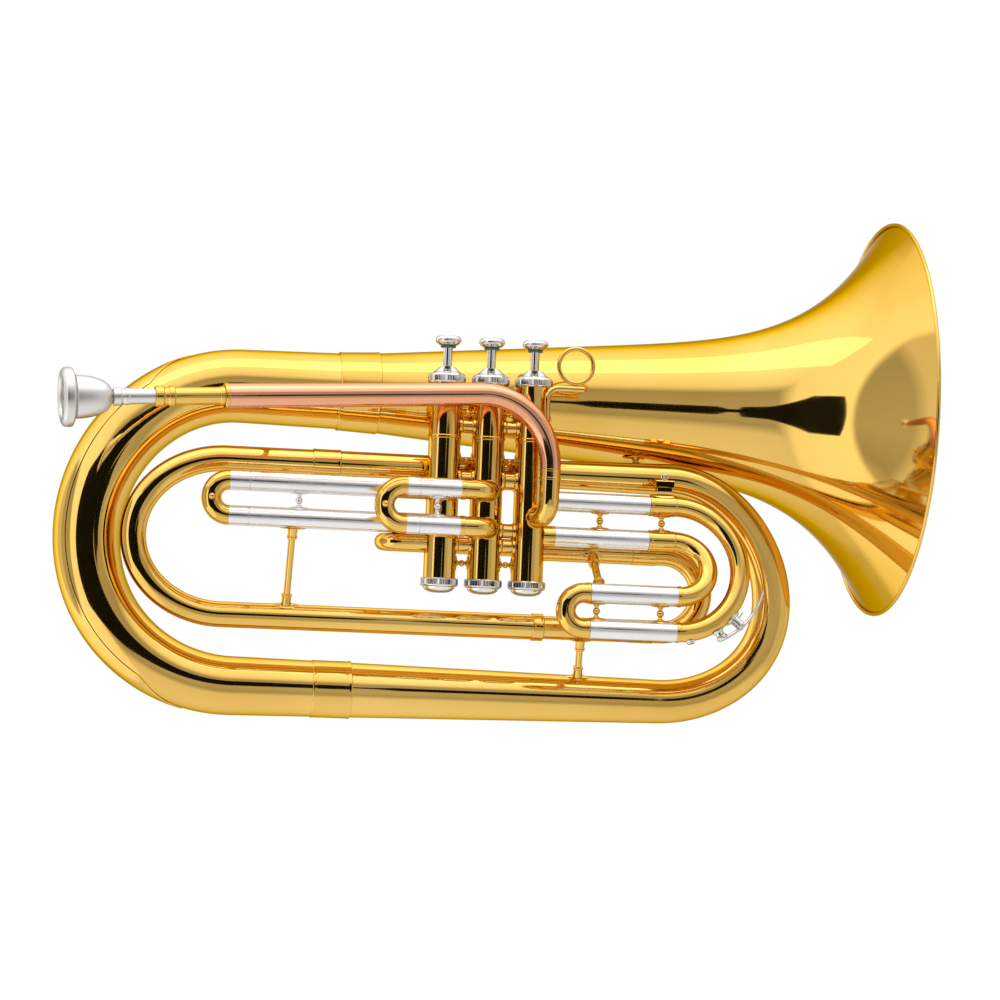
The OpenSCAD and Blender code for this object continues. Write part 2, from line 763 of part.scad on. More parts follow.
// Half-circle tube of the third slide that bulges towards +X, leaning by tilt
module third_bend(centre, bend, tilt) {
    translate(centre) rotate([-tilt, 0, 0]) mirror([1, 0, 0]) left_bow(bend, bow_r, 1);
}

module third_outer_bend() {
    color(lacquer) {
        third_bend(outer_centre, outer_bend_r, outer_tilt);
        x_tube(third_ferrule_x, third_bend_x, 0, third_z, sleeve_r + 0.3, 1.3);
    }
}

module third_inner_bend() {
    color(lacquer) {
        third_bend(inner_centre, inner_bend_r, inner_tilt);
        x_tube(third_ferrule_x, third_bend_x, 0, inner_top_z, sleeve_r + 0.3, 1.3);
    }
}

// ---------- Braces and stays ----------

// Brace between the two legs of a slide, hanging down from the upper leg
module leg_brace(x, y, z, gap, reach = sleeve_r + solder_gap) {
    ball_brace([x, y, z - reach], [x, y, z - gap + reach], 3.6);
}

module slide_braces() {
    color(nickel) {
        leg_brace(-127, 0, first_z, first_gap);
        leg_brace(-36, -second_front, second_z, second_gap);
    }
    color(lacquer) {
        leg_brace(79, 0, third_z, third_gap);
        leg_brace(122, 0, third_z, third_gap, sleeve_r + 0.35);
        leg_brace(75, -third_front, third_low_z, third_gap);
        leg_brace(119, -third_front, third_low_z, third_gap);
    }
}

// Stay between two parallel tubes that lie along X, given their [y, z] axes and radii
module tube_stay(xa, a, ra, xb, b, rb, r = stay_d / 2) {
    way = unit([0, b[0] - a[0], b[1] - a[1]]);
    stay([xa, a[0], a[1]] + way * (ra + 0.3), [xb, b[0], b[1]] - way * (rb + 0.3), r);
}

module body_stays() {
    mid_low = [mid_back, -mid_low_z];
    color(lacquer) {
        tube_stay(-130, [0, first_z - first_gap], sleeve_r, -131.4, mid_low, mid_r);
        tube_stay(73, mid_low, tuning_r, 74.4, [bottom_back, -bottom_z], 16.4);
        tube_stay(78, [mid_back, -outlet_z], tuning_r, 78, [-third_front, third_low_z], sleeve_r, 2.6);
        tube_stay(108, [mid_back, mid_top_z], 10.8, 108, [bell_back, bell_z], bell_r(112), 1.9);
        lead_point = receiver_end + lead_dir * 38;
        tube_stay(lead_point[0], [lead_point[1], lead_point[2]], lead_r_mouth + 0.2, lead_point[0],
            [bell_back, bell_z], 26.2, 2);
        for (n = [1, 3]) stay([valve_x(n), casing_r + 0.1, 50],
            [valve_x(n), bell_back - sqrt(pow(bell_r(valve_x(n) + 4), 2) - 12) - 0.1, 50], 1.9);
    }
}

// Axis of the hook's upright, in front of the third casing's right side
hook_at = [37.5, -10.95];

module finger_hook() {
    r = 2.3;
    bend = 8;
    x = hook_at[0];
    top = 62.1;
    color(lacquer) translate([0, hook_at[1], 0]) {
        translate([x, 0, 18]) cylinder(h = top - bend - 18, r = r);
        translate([x + bend, 0, top - bend]) rotate([90, 0, 0]) rotate([0, 0, 90]) rotate_extrude(angle = 90)
            translate([bend, 0]) circle(r = r);
        translate([x + bend, 0, top]) rotate([0, 90, 0]) cylinder(h = 63 - x - bend, r = r);
    }
}

module finger_ring() {
    wire = ring_wire / 2;
    color(lacquer) translate([56.6, hook_at[1], 64.5 + ring_d / 2]) rotate([90, 0, 0]) rotate_extrude()
        translate([ring_d / 2 - wire, 0]) circle(r = wire, $fn = 24);
}

// Middle of the lyre socket
lyre_centre = [123, 0, third_z + sleeve_r + 7];

module lyre_holder() {
    half = 7;
    color(lacquer) translate(lyre_centre) difference() {
        union() {
            translate([-half, -4.4, -3.6]) cube([2 * half, 8.8, 7.2]);
            translate([-half + 1, -3, -6.4]) cube([2 * half - 2, 6, 4]);
            translate([0, 0, 3]) cylinder(h = 1.8, r = 3);
        }
        translate([-half - 1, 0, 0]) rotate([0, 90, 0]) cylinder(h = 2 * half + 2, r = lyre_bore / 2);
        cylinder(h = 10, r = 1.55);
    }
}

module lyre_screw() {
    tip = lyre_bore / 2 + 0.2;
    color(plate) translate(lyre_centre) {
        translate([0, 0, tip]) cylinder(h = 4, r = 1.5);
        translate([0, 0, 5.1]) cylinder(h = 3, r = 2.7, $fn = 12);
    }
}

// ---------- Water key ----------

outer_w = unit(outer_up);
key_axis = cross([1, 0, 0], outer_w);

// Direction and point at an angle round the outer bend
function bend_dir(a) = cos(a) * [1, 0, 0] + sin(a) * outer_w;
function bend_at(a, r) = outer_centre + r * bend_dir(a);

nipple_low = outer_bend_r + bow_r;
nipple_top = nipple_low + 3.4;
key_pivot = bend_at(key_pivot_angle, key_pivot_r);
key_pad = bend_at(key_pad_angle, nipple_top + 0.05);

module water_key_saddle() {
    base = outer_bend_r + bow_r + 0.1;
    half = key_width / 2;
    color(plate) {
        difference() {
            rod(bend_at(key_pad_angle, nipple_low + 0.1), bend_at(key_pad_angle, nipple_top), 3);
            rod(bend_at(key_pad_angle, nipple_low - 1), bend_at(key_pad_angle, nipple_top + 1), 1.6);
        }
        rod(bend_at(-80, base), bend_at(-80, base + 1.8), 2.6);
        translate(bend_at(key_pivot_angle, base)) point_along(bend_dir(key_pivot_angle)) cylinder(h = 1.6, r = 5);
        for (side = [-1, 1]) hull() {
            middle = side * (half + 0.3 + ear_t / 2) * key_axis;
            step = ear_t / 2 * key_axis;
            rod(key_pivot + middle - step, key_pivot + middle + step, 2.4, $fn = 32);
            foot = bend_at(key_pivot_angle, base + 1.75) + middle;
            rod(foot - step, foot + step, 2.6, $fn = 32);
        }
        rod(key_pivot - (half + 2.6) * key_axis, key_pivot + (half + 2.6) * key_axis, pin_r);
    }
}

module water_key_lever() {
    half = key_width / 2;
    cup_low = 1.4;
    cup = key_pad + cup_low * bend_dir(key_pad_angle);
    touch = bend_at(key_touch_angle, key_touch_r);
    way = unit(touch - key_pivot);
    color(plate) difference() {
        union() {
            rod(key_pivot - half * key_axis, key_pivot + half * key_axis, 2.4);
            rod(cup, cup + 2.2 * bend_dir(key_pad_angle), 3.6);
            rod(cup + 1.4 * bend_dir(key_pad_angle), key_pivot, 1.3);
            rod(key_pivot, touch - 4 * way, 1.3);
            hull() {
                rod(touch - 6 * way - 1.6 * key_axis, touch - 6 * way + 1.6 * key_axis, 0.9, $fn = 24);
                rod(touch - 3 * key_axis, touch + 3 * key_axis, 0.8, $fn = 24);
            }
        }
        rod(key_pivot - 10 * key_axis, key_pivot + 10 * key_axis, pin_r + pin_fit);
    }
}

module water_key_cork() {
    color("tan") rod(key_pad, key_pad + 1.35 * bend_dir(key_pad_angle), 3.1);
}

module water_key_spring() {
    color(nickel) rod(bend_at(key_pivot_angle, nipple_low + 2.9), bend_at(key_pivot_angle + 9, nipple_low + 2.9), 0.5);
}

bell();
bell_rim_wire();
large_bow();
bottom_branch();
upper_mid_tube();
mid_bow();
body_ferrules();
outlet_tube();
tuning_sleeves();
tuning_crook();
lead_elbow();
leadpipe();
mouthpiece_receiver();
mouthpiece();
valve_casing(1);  // valve_casing_1
valve_casing(2);  // valve_casing_2
valve_casing(3);  // valve_casing_3
top_cap(1);  // top_cap_1
top_cap(2);  // top_cap_2
top_cap(3);  // top_cap_3
bottom_cap(1);  // bottom_cap_1
bottom_cap(2);  // bottom_cap_2
bottom_cap(3);  // bottom_cap_3
piston(1);  // piston_1
piston(2);  // piston_2
piston(3);  // piston_3
valve_stem(1);  // valve_stem_1
valve_stem(2);  // valve_stem_2
valve_stem(3);  // valve_stem_3
finger_button(1);  // finger_button_1
finger_button(2);  // finger_button_2
finger_button(3);  // finger_button_3
valve_spring(1);  // valve_spring_1
valve_spring(2);  // valve_spring_2
valve_spring(3);  // valve_spring_3
button_felt(1);  // button_felt_1
button_felt(2);  // button_felt_2
button_felt(3);  // button_felt_3
valve_knuckles();
second_elbows();
valve_braces();
first_sleeves();
first_crook();
second_sleeves();
second_crook();
third_sleeves();
third_crook();
third_outer_bend();
third_inner_bend();
slide_braces();
body_stays();
finger_hook();
finger_ring();
lyre_holder();
lyre_screw();
water_key_saddle();
water_key_lever();
water_key_cork();
water_key_spring();
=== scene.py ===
"""Looks of the marching euphonium.

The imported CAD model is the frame: its nodes give the bodies and the places. The tubes, bell, caps and
fittings that show are rebuilt here as smooth meshes at the same sizes, with procedural metal finishes.
Lengths are millimetres until a mesh is made.
"""

from math import cos, hypot, pi, radians, sin, sqrt, tau

import bmesh
import bpy
from mathutils import Matrix, Vector


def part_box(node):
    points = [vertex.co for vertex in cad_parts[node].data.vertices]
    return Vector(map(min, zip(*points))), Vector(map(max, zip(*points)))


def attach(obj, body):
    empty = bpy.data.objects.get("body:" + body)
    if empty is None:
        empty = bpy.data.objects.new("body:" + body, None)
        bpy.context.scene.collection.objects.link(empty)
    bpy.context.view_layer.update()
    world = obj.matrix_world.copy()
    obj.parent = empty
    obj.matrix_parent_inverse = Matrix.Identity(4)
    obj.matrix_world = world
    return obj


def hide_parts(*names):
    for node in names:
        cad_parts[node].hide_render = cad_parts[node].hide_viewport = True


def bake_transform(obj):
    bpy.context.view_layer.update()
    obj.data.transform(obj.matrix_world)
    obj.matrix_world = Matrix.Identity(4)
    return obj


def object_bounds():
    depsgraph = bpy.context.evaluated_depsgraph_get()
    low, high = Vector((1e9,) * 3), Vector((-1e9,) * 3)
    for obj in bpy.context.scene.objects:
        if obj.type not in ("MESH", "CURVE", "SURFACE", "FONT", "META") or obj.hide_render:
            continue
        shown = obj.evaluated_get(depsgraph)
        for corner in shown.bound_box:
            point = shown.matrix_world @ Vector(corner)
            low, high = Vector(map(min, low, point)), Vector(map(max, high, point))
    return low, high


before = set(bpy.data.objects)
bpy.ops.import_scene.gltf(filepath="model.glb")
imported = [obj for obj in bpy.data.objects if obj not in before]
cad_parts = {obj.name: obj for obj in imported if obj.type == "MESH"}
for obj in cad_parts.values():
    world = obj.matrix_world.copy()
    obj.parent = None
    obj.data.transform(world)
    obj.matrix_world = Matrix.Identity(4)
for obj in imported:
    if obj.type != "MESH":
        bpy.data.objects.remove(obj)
cad_low, cad_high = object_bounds()
MM = 0.001


# ---------- Sizes, from the frame and the CAD model's driving dimensions ----------

def box(node):
    """Lowest and highest corner of a CAD node, in millimetres."""
    low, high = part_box(node)
    return low / MM, high / MM


def legs(node):
    """A node of two parallel tubes along X: (start x, end x, y, upper z, lower z, radius)."""
    low, high = box(node)
    r = (high.y - low.y) / 2
    return low.x, high.x, (low.y + high.y) / 2, high.z - r, low.z + r, r


X = Vector((1, 0, 0))
Y = Vector((0, 1, 0))
Z = Vector((0, 0, 1))

VALVES = (1, 2, 3)
valve_at = {n: sum(box(f"valve_casing_{n}"), Vector()).x / 2 for n in VALVES}
casing_low, casing_high = (c.z for c in box("valve_casing_1"))
CASING_R = 10.9
CASING_WALL = 1.2
BELT_Z = 26
CAP_R = (box("top_cap_1")[1].x - box("top_cap_1")[0].x) / 2
CAP_SKIRT_Z = 62.4
CAP_NECK_Z = 74
BOTTOM_CAP_Z = -69.6
BOTTOM_RIM_Z = -75
STEM_R = 3.1

bell_low, bell_high = box("bell")
bell_axis = (bell_low + bell_high) / 2
bell_line = Vector((0, bell_axis.y, bell_axis.z))
BELL_START_R = 26.5
BELL_SLOPE = 0.0885
FLARE_LEN = 260
FLARE_POWER = 5.4
WALL = 0.8
RIM_WIRE_R = 1.3
rim_r = (box("bell_rim_wire")[1].z - box("bell_rim_wire")[0].z) / 2

BOTTOM = Vector((0, 40, -148))
BOTTOM_R = 19
BOTTOM_JOINT_X = -96
LARGE_BOW_X = -165
RIGHT_BOW_X = 131
BOW_SKEW = 1.5
BOW_STRETCH = 0.98
BRANCH_SKEW = 4.5
MID_Y = 21.5
MID_TOP_Z = 5.5
MID_LOW_Z = -100
MID_R = 8.9
mid_high, mid_low = Vector((0, MID_Y, MID_TOP_Z)), Vector((0, MID_Y, MID_LOW_Z))
MID_JOINT_X = 4
MID_BOW_X = -175
MID_BOW_REACH = 61
MID_BOW_JOINT_X = -107
OUTLET_R = 5.9
OUTLET_TURN_X = -57
TUNING_BOW_X = 129
tuning_x0, tuning_x1, tuning_y, outlet_z, tuning_low_z, TUNING_R = legs("tuning_sleeves")
tuning_x0 += 6

first_x0, first_x1, first_y, first_z, first_low_z, SLEEVE_R = legs("first_sleeves")
second_x0, second_x1, second_y, second_z, second_low_z, _ = legs("second_sleeves")
BOW_R = SLEEVE_R - 0.1
INNER_R = SLEEVE_R - 0.64
GAP = 0.2
FIRST_FERRULE = 13.4
SECOND_FERRULE = 8.6
SECOND_BOW_X = -59.3
FIRST_INNER_END = -76
SECOND_INNER_END = -21
THIRD_Z = -14
THIRD_LOW_Z = -76
THIRD_GAP = 24
THIRD_FRONT = 21
THIRD_BEND_X = 131.5
THIRD_PULL_X = 70.4
THIRD_BOW_X = 66
THIRD_FERRULE_X = 113
THIRD_START_X = 46.1
PORT_END_X = 48
THIRD_BACK = (THIRD_Z, THIRD_Z - THIRD_GAP)
THIRD_LOW = (THIRD_LOW_Z, THIRD_LOW_Z - THIRD_GAP)

LEAD_RISE = radians(3.9)
LEAD_TURN = radians(7)
LEAD_BEND = 47
LEAD_STRAIGHT = 174
RECEIVER_LEN = 46
PORT_ANGLE = radians(17)
PORT_REACH = 29.3
PORT_Z = -26.5
ELBOW_R = 13
ELBOW_TUBE_R = 6.8
LEAD_LOW = 6.5
SHANK = 61
lead_level = Vector((cos(LEAD_TURN), sin(LEAD_TURN), 0))
lead_dir = lead_level * cos(LEAD_RISE) + Z * sin(LEAD_RISE)
lead_side = Vector((-sin(LEAD_TURN), cos(LEAD_TURN), 0))
port_dir = Vector((sin(PORT_ANGLE), -cos(PORT_ANGLE), 0))
drop = X * valve_at[3] + port_dir * PORT_REACH
bend_centre = drop + Z * LEAD_LOW - lead_level * LEAD_BEND
bend_start = bend_centre + LEAD_BEND * (Z * cos(LEAD_RISE) - lead_level * sin(LEAD_RISE))
receiver_end = bend_start - lead_dir * LEAD_STRAIGHT
receiver_mouth = receiver_end - lead_dir * RECEIVER_LEN
mouth_face = receiver_mouth - lead_dir * SHANK

outer_centre = Vector((THIRD_BEND_X, -THIRD_FRONT / 2, (THIRD_Z + THIRD_LOW_Z - THIRD_GAP) / 2))
outer_up = Vector((0, THIRD_FRONT, THIRD_Z - THIRD_LOW_Z + THIRD_GAP))
inner_up = Vector((0, THIRD_FRONT, THIRD_Z - THIRD_GAP - THIRD_LOW_Z))
outer_w = outer_up.normalized()
outer_r = outer_up.length / 2
key_axis = X.cross(outer_w)
KEY_PAD, KEY_PIVOT, KEY_TOUCH = (radians(a) for a in (-56.5, -41, -12))
KEY_STOP = radians(-80)
KEY_PIVOT_R = 58.2
KEY_TOUCH_R = 61.5


def bend_dir(angle):
    """Direction at an angle round the third slide's outer bend."""
    return X * cos(angle) + outer_w * sin(angle)


def bend_at(angle, r):
    return outer_centre + bend_dir(angle) * r


def bell_r(x):
    """Radius of the bell at distance x along its axis."""
    rise = rim_r - 2 * RIM_WIRE_R - BELL_START_R - BELL_SLOPE * (bell_high.x - bell_low.x)
    share = max(0.0, 1 - (bell_high.x - x) / FLARE_LEN)
    return BELL_START_R + BELL_SLOPE * (x - bell_low.x) + rise * share ** FLARE_POWER


# ---------- Mesh building ----------

class Shape:
    """Closed shells gathered into one mesh."""

    def __init__(self):
        self.verts = []
        self.faces = []

    def loft(self, rings, wrap=False):
        """Joins rings of points in order. A ring of one point is a tip."""
        starts = []
        for ring in rings:
            starts.append(len(self.verts))
            self.verts += ring
        pairs = [(i, i + 1) for i in range(len(rings) - 1)]
        if wrap:
            pairs.append((len(rings) - 1, 0))
        for a, b in pairs:
            count = max(len(rings[a]), len(rings[b]))
            for j in range(count):
                k = (j + 1) % count
                quad = [starts[a] + j, starts[a] + k, starts[b] + k, starts[b] + j]
                if len(rings[a]) == 1:
                    quad = [starts[a], starts[b] + k, starts[b] + j]
                elif len(rings[b]) == 1:
                    quad = [starts[a] + j, starts[a] + k, starts[b]]
                self.faces.append(quad)
        return self

    def lathe(self, origin, axis, profile, sides=64, teeth=0, depth=0.0, band=(0, 0)):
        """Turns (distance, radius) points round an axis. Teeth cut a coin edge into the band."""
        axis = axis.normalized()
        side = axis.orthogonal().normalized()
        up = axis.cross(side)
        rings = []
        for s, r in profile:
            centre = origin + axis * s
            if r < 1e-4:
                rings.append([centre])
                continue
            deep = depth if band[0] <= s <= band[1] else 0
            rings.append([centre + (side * c + up * d) * (r - deep * (0.5 + 0.5 * cos(teeth * tau * j / sides)))
                          for j, (c, d) in enumerate(circle(sides))])
        tips = profile[0][1] < 1e-4 and profile[-1][1] < 1e-4
        return self.loft(rings, wrap=not tips)

    def sweep(self, path, radii, normal, wall=None, sides=48):
        """Tube along a path in a plane with that normal: hollow with a wall, or solid with domed ends."""
        outer, inner = [], []
        last = len(path) - 1
        for i, centre in enumerate(path):
            way = (path[min(i + 1, last)] - path[max(i - 1, 0)]).normalized()
            side = way.cross(normal).normalized()

            def ring(r):
                return [centre + (normal * c + side * d) * r for c, d in circle(sides)]
            outer.append(ring(radii[i]))
            if wall:
                inner.append(ring(radii[i] - wall))
        if wall:
            return self.loft(outer + inner[::-1], wrap=True)
        return self.loft([[path[0]]] + outer + [[path[-1]]])

    def bar(self, path, across, widths, depths, sides=24):
        """Solid bar with an oval section: half width along across, half depth square to it."""
        rings = []
        last = len(path) - 1
        for i, centre in enumerate(path):
            way = (path[min(i + 1, last)] - path[max(i - 1, 0)]).normalized()
            deep = way.cross(across).normalized()
            rings.append([centre + across * widths[i] * c + deep * depths[i] * d for c, d in circle(sides)])
        return self.loft([[path[0]]] + rings + [[path[-1]]])

    def saddle(self, foot, along, out, tube_r, half_len, half_width, thick):
        """Oval plate soldered on a tube: foot is the point on the tube's axis under its middle."""
        sides, steps = 40, 7
        round_way = along.cross(out)

        def ring(share, rise):
            points = []
            for j in range(sides):
                a = tau * j / sides
                b = half_width * share * sin(a) / tube_r
                points.append(foot + along * half_len * share * cos(a)
                              + (out * cos(b) + round_way * sin(b)) * (tube_r + rise))
            return points
        top = [ring((i + 1) / steps, thick * (1 - 0.75 * ((i + 1) / steps) ** 4)) for i in range(steps)]
        low = [ring(1 - i / steps, -0.25) for i in range(steps)]
        return self.loft([[foot + out * (tube_r + thick)]] + top + low + [[foot + out * (tube_r - 0.25)]])


def circle(sides):
    """(cosine, sine) of angles spread evenly round a circle."""
    return [(cos(tau * j / sides), sin(tau * j / sides)) for j in range(sides)]


def fillet(profile, radius, steps=5, closed=True):
    """Rounds the corners of an outline of (distance, radius) points."""
    made = []
    count = len(profile)
    for i, (s, r) in enumerate(profile):
        if not closed and i in (0, count - 1):
            made.append((s, r))
            continue
        corner = Vector((s, r))
        before = Vector(profile[i - 1]) - corner
        after = Vector(profile[(i + 1) % count]) - corner
        reach = min(radius, 0.45 * before.length, 0.45 * after.length)
        a = corner + before.normalized() * reach
        b = corner + after.normalized() * reach
        for k in range(steps + 1):
            t = k / steps
            p = a * (1 - t) ** 2 + corner * 2 * t * (1 - t) + b * t * t
            made.append((p.x, p.y))
    return made


def ring_outline(s0, s1, r_out, r_in, edge=0.35):
    """Outline of a hollow cylinder with softened edges."""
    return fillet([(s0, r_in), (s0, r_out), (s1, r_out), (s1, r_in)], edge)


def x_tubes(shape, x0, x1, y, heights, r, wall, edge=0.25, sides=64):
    """Hollow tubes along X, one at each height."""
    for z in heights:
        shape.lathe(Vector((0, y, z)), X, ring_outline(x0, x1, r, r - wall, edge), sides)
    return shape


def u_path(xa, xc, xb, p, q, way, steps, stretch=1.0, skew=0.0):
    """Path of a U-shaped tube as [(centre, share of its length)], as in the CAD model."""
    half = (q - p) / 2
    arc = half.length
    first, last = abs(xa - xc), abs(xb - xc)
    total = first + pi * arc + last
    made = [(Vector((xa, p.y, p.z)), 0.0)]
    for i in range(steps + 1):
        turn = pi * i / steps
        level = (p + q) / 2 - half * cos(turn)
        out = arc * stretch * sin(turn) + skew * sin(2 * turn)
        made.append((Vector((xc + way * out, level.y, level.z)), (first + arc * turn) / total))
    made.append((Vector((xb, q.y, q.z)), 1.0))
    return made


def arc_path(centre, u, v, r, start, end, steps):
    """Points of an arc from angle start to end, with u at 0 and v at a quarter turn."""
    return [centre + (u * cos(a) + v * sin(a)) * r
            for a in (start + (end - start) * i / steps for i in range(steps + 1))]


# ---------- Finishes ----------

# The record's slots that most pieces take.
BRASS, SILVER, NICKEL = "yellow_lacquer", "silver_plate", "nickel_silver"


def node_value(tree, kind, **inputs):
    """A new node with those input values."""
    node = tree.nodes.new(kind)
    for name, value in inputs.items():
        node.inputs[name.replace("_", " ")].default_value = value
    return node


def new_material(name):
    material = bpy.data.materials.new(name)
    material.use_nodes = True
    return material, material.node_tree, material.node_tree.nodes["Principled BSDF"]


def mix_colours(tree, factor, low, high):
    """Mix of two colours, which are values or sockets, by a factor socket."""
    node = tree.nodes.new("ShaderNodeMix")
    node.data_type = "RGBA"
    tree.links.new(factor, node.inputs[0])
    for socket, colour in ((node.inputs[6], low), (node.inputs[7], high)):
        if isinstance(colour, tuple):
            socket.default_value = (*colour, 1)
        else:
            tree.links.new(colour, socket)
    return node.outputs[2]


def add_relief(tree, shader, height, strength, distance):
    bump = node_value(tree, "ShaderNodeBump", Strength=strength, Distance=distance)
    tree.links.new(height, bump.inputs["Height"])
    tree.links.new(bump.outputs["Normal"], shader.inputs["Normal"])


def metal(name, light, deep, rough, edge_tone=None, scratches=0.02, brushed=0.0):
    """Metal whose colour drifts between two tones, with fine wear in its roughness and relief."""
    material, tree, shader = new_material(name)
    link = tree.links.new
    shader.inputs["Metallic"].default_value = 1.0
    shader.inputs["Specular Tint"].default_value = (*(edge_tone or light), 1)
    place = tree.nodes.new("ShaderNodeTexCoord")

    drift = node_value(tree, "ShaderNodeTexNoise", Scale=9.0, Detail=4.0, Roughness=0.55)
    link(place.outputs["Object"], drift.inputs["Vector"])
    spread = node_value(tree, "ShaderNodeMapRange", From_Min=0.35, From_Max=0.65)
    link(drift.outputs["Fac"], spread.inputs["Value"])
    tone = mix_colours(tree, spread.outputs["Result"], deep, light)

    edge = tree.nodes.new("ShaderNodeNewGeometry")
    worn = node_value(tree, "ShaderNodeMapRange", From_Min=0.53, From_Max=0.6, To_Max=0.35)
    link(edge.outputs["Pointiness"], worn.inputs["Value"])
    rubbed = tuple(min(1.0, c * 1.15 + 0.05) for c in light)
    link(mix_colours(tree, worn.outputs["Result"], tone, rubbed), shader.inputs["Base Color"])

    haze = node_value(tree, "ShaderNodeTexNoise", Scale=38.0, Detail=6.0, Roughness=0.6)
    link(place.outputs["Object"], haze.inputs["Vector"])
    gloss = node_value(tree, "ShaderNodeMapRange", From_Min=0.3, From_Max=0.7, To_Min=rough * 0.65,
                       To_Max=rough * 1.4)
    link(haze.outputs["Fac"], gloss.inputs["Value"])
    link(gloss.outputs["Result"], shader.inputs["Roughness"])

    stretch = tree.nodes.new("ShaderNodeMapping")
    stretch.inputs["Scale"].default_value = (30, 900, 900) if brushed else (260, 180, 220)
    link(place.outputs["Object"], stretch.inputs["Vector"])
    grain = node_value(tree, "ShaderNodeTexNoise", Scale=1.0, Detail=3.0, Roughness=0.5)
    link(stretch.outputs["Vector"], grain.inputs["Vector"])
    add_relief(tree, shader, grain.outputs["Fac"], scratches + brushed, 0.0001)
    return material


def soft_stuff(name, light, deep, rough, grain_scale, grain_depth):
    """Felt or cork: a mottled colour with a grainy relief."""
    material, tree, shader = new_material(name)
    link = tree.links.new
    shader.inputs["Roughness"].default_value = rough
    shader.inputs["Sheen Weight"].default_value = 0.3
    place = tree.nodes.new("ShaderNodeTexCoord")
    grain = node_value(tree, "ShaderNodeTexNoise", Scale=grain_scale, Detail=8.0, Roughness=0.7)
    link(place.outputs["Object"], grain.inputs["Vector"])
    link(mix_colours(tree, grain.outputs["Fac"], deep, light), shader.inputs["Base Color"])
    add_relief(tree, shader, grain.outputs["Fac"], 0.6, grain_depth)
    return material


FINISHES = {
    BRASS: metal("lacquered_brass", (0.86, 0.55, 0.140), (0.81, 0.49, 0.105), 0.06,
                 edge_tone=(0.62, 0.44, 0.13)),
    "rose_lacquer": metal("lacquered_rose_brass", (0.88, 0.44, 0.26), (0.83, 0.38, 0.21), 0.10,
                          edge_tone=(0.70, 0.40, 0.26)),
    NICKEL: metal("satin_nickel_silver", (0.95, 0.93, 0.91), (0.90, 0.88, 0.86), 0.26,
                  edge_tone=(0.70, 0.69, 0.67), scratches=0.01, brushed=0.006),
    SILVER: metal(SILVER, (0.84, 0.83, 0.81), (0.76, 0.75, 0.72), 0.08, edge_tone=(0.45, 0.44, 0.42)),
    "satin_silver": metal("satin_silver_plate", (0.82, 0.80, 0.76), (0.75, 0.73, 0.69), 0.34,
                          edge_tone=(0.42, 0.41, 0.39), scratches=0.05),
    "piston_nickel": metal("piston_nickel", (0.72, 0.70, 0.66), (0.64, 0.62, 0.58), 0.24, brushed=0.05),
    "spring_steel": metal("spring_steel", (0.62, 0.60, 0.57), (0.50, 0.47, 0.43), 0.28),
    "felt": soft_stuff("green_felt", (0.07, 0.17, 0.09), (0.03, 0.09, 0.045), 0.95, 900, 0.0004),
    "cork": soft_stuff("cork", (0.66, 0.48, 0.30), (0.35, 0.22, 0.12), 0.85, 600, 0.0003),
}


def add_object(name, data):
    obj = bpy.data.objects.new(name, data)
    bpy.context.scene.collection.objects.link(obj)
    return obj


def piece(name, shape, slot, body="root", nodes=(), sharp=38, finish=None):
    """Makes the object, gives it its finish, and rides it on a CAD body in place of those nodes.
    With no body it stays free."""
    mesh = bpy.data.meshes.new(name)
    mesh.from_pydata([v * MM for v in shape.verts], [], shape.faces)
    work = bmesh.new()
    work.from_mesh(mesh)
    bmesh.ops.recalc_face_normals(work, faces=work.faces)
    work.to_mesh(mesh)
    work.free()
    mesh.shade_smooth()
    mesh.set_sharp_from_angle(angle=radians(sharp))
    mesh.materials.append(FINISHES[finish or slot])
    obj = add_object(name, mesh)
    obj.modifiers.new("normals", "WEIGHTED_NORMAL").keep_sharp = True
    if body:
        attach(obj, body)
    if nodes:
        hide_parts(*nodes)
    return obj


# ---------- Bell and large tubing ----------

def make_bell():
    steps = 110
    outer, inner = [], []
    for i in range(steps + 1):
        x = bell_low.x + (bell_high.x - bell_low.x) * (1 - (1 - i / steps) ** 1.7)
        grade = bell_r(x + 0.5) - bell_r(x - 0.5)
        k = WALL / hypot(1, grade)
        outer.append((x, bell_r(x)))
        inner.append((min(x + (k * grade if i else 0), bell_high.x), bell_r(x) - k))
    bell = Shape().lathe(bell_line, X, outer + inner[::-1], 192)
    piece("bell_flare", bell, BRASS, nodes=["bell"])
    bead = [(bell_high.x + RIM_WIRE_R * c, rim_r - RIM_WIRE_R + RIM_WIRE_R * d) for c, d in circle(24)]
    rim = Shape().lathe(bell_line, X, bead, 192)
    piece("bell_rim_bead", rim, BRASS, nodes=["bell_rim_wire"])


def tube_along(name, path, ra, rb, normal, node, sides=96):
    points = [p for p, _ in path]
    radii = [ra + (rb - ra) * share for _, share in path]
    piece(name, Shape().sweep(points, radii, normal, WALL, sides), BRASS, nodes=[node])


def plane_normal(p, q):
    return Vector((0, q.z - p.z, p.y - q.y)).normalized()


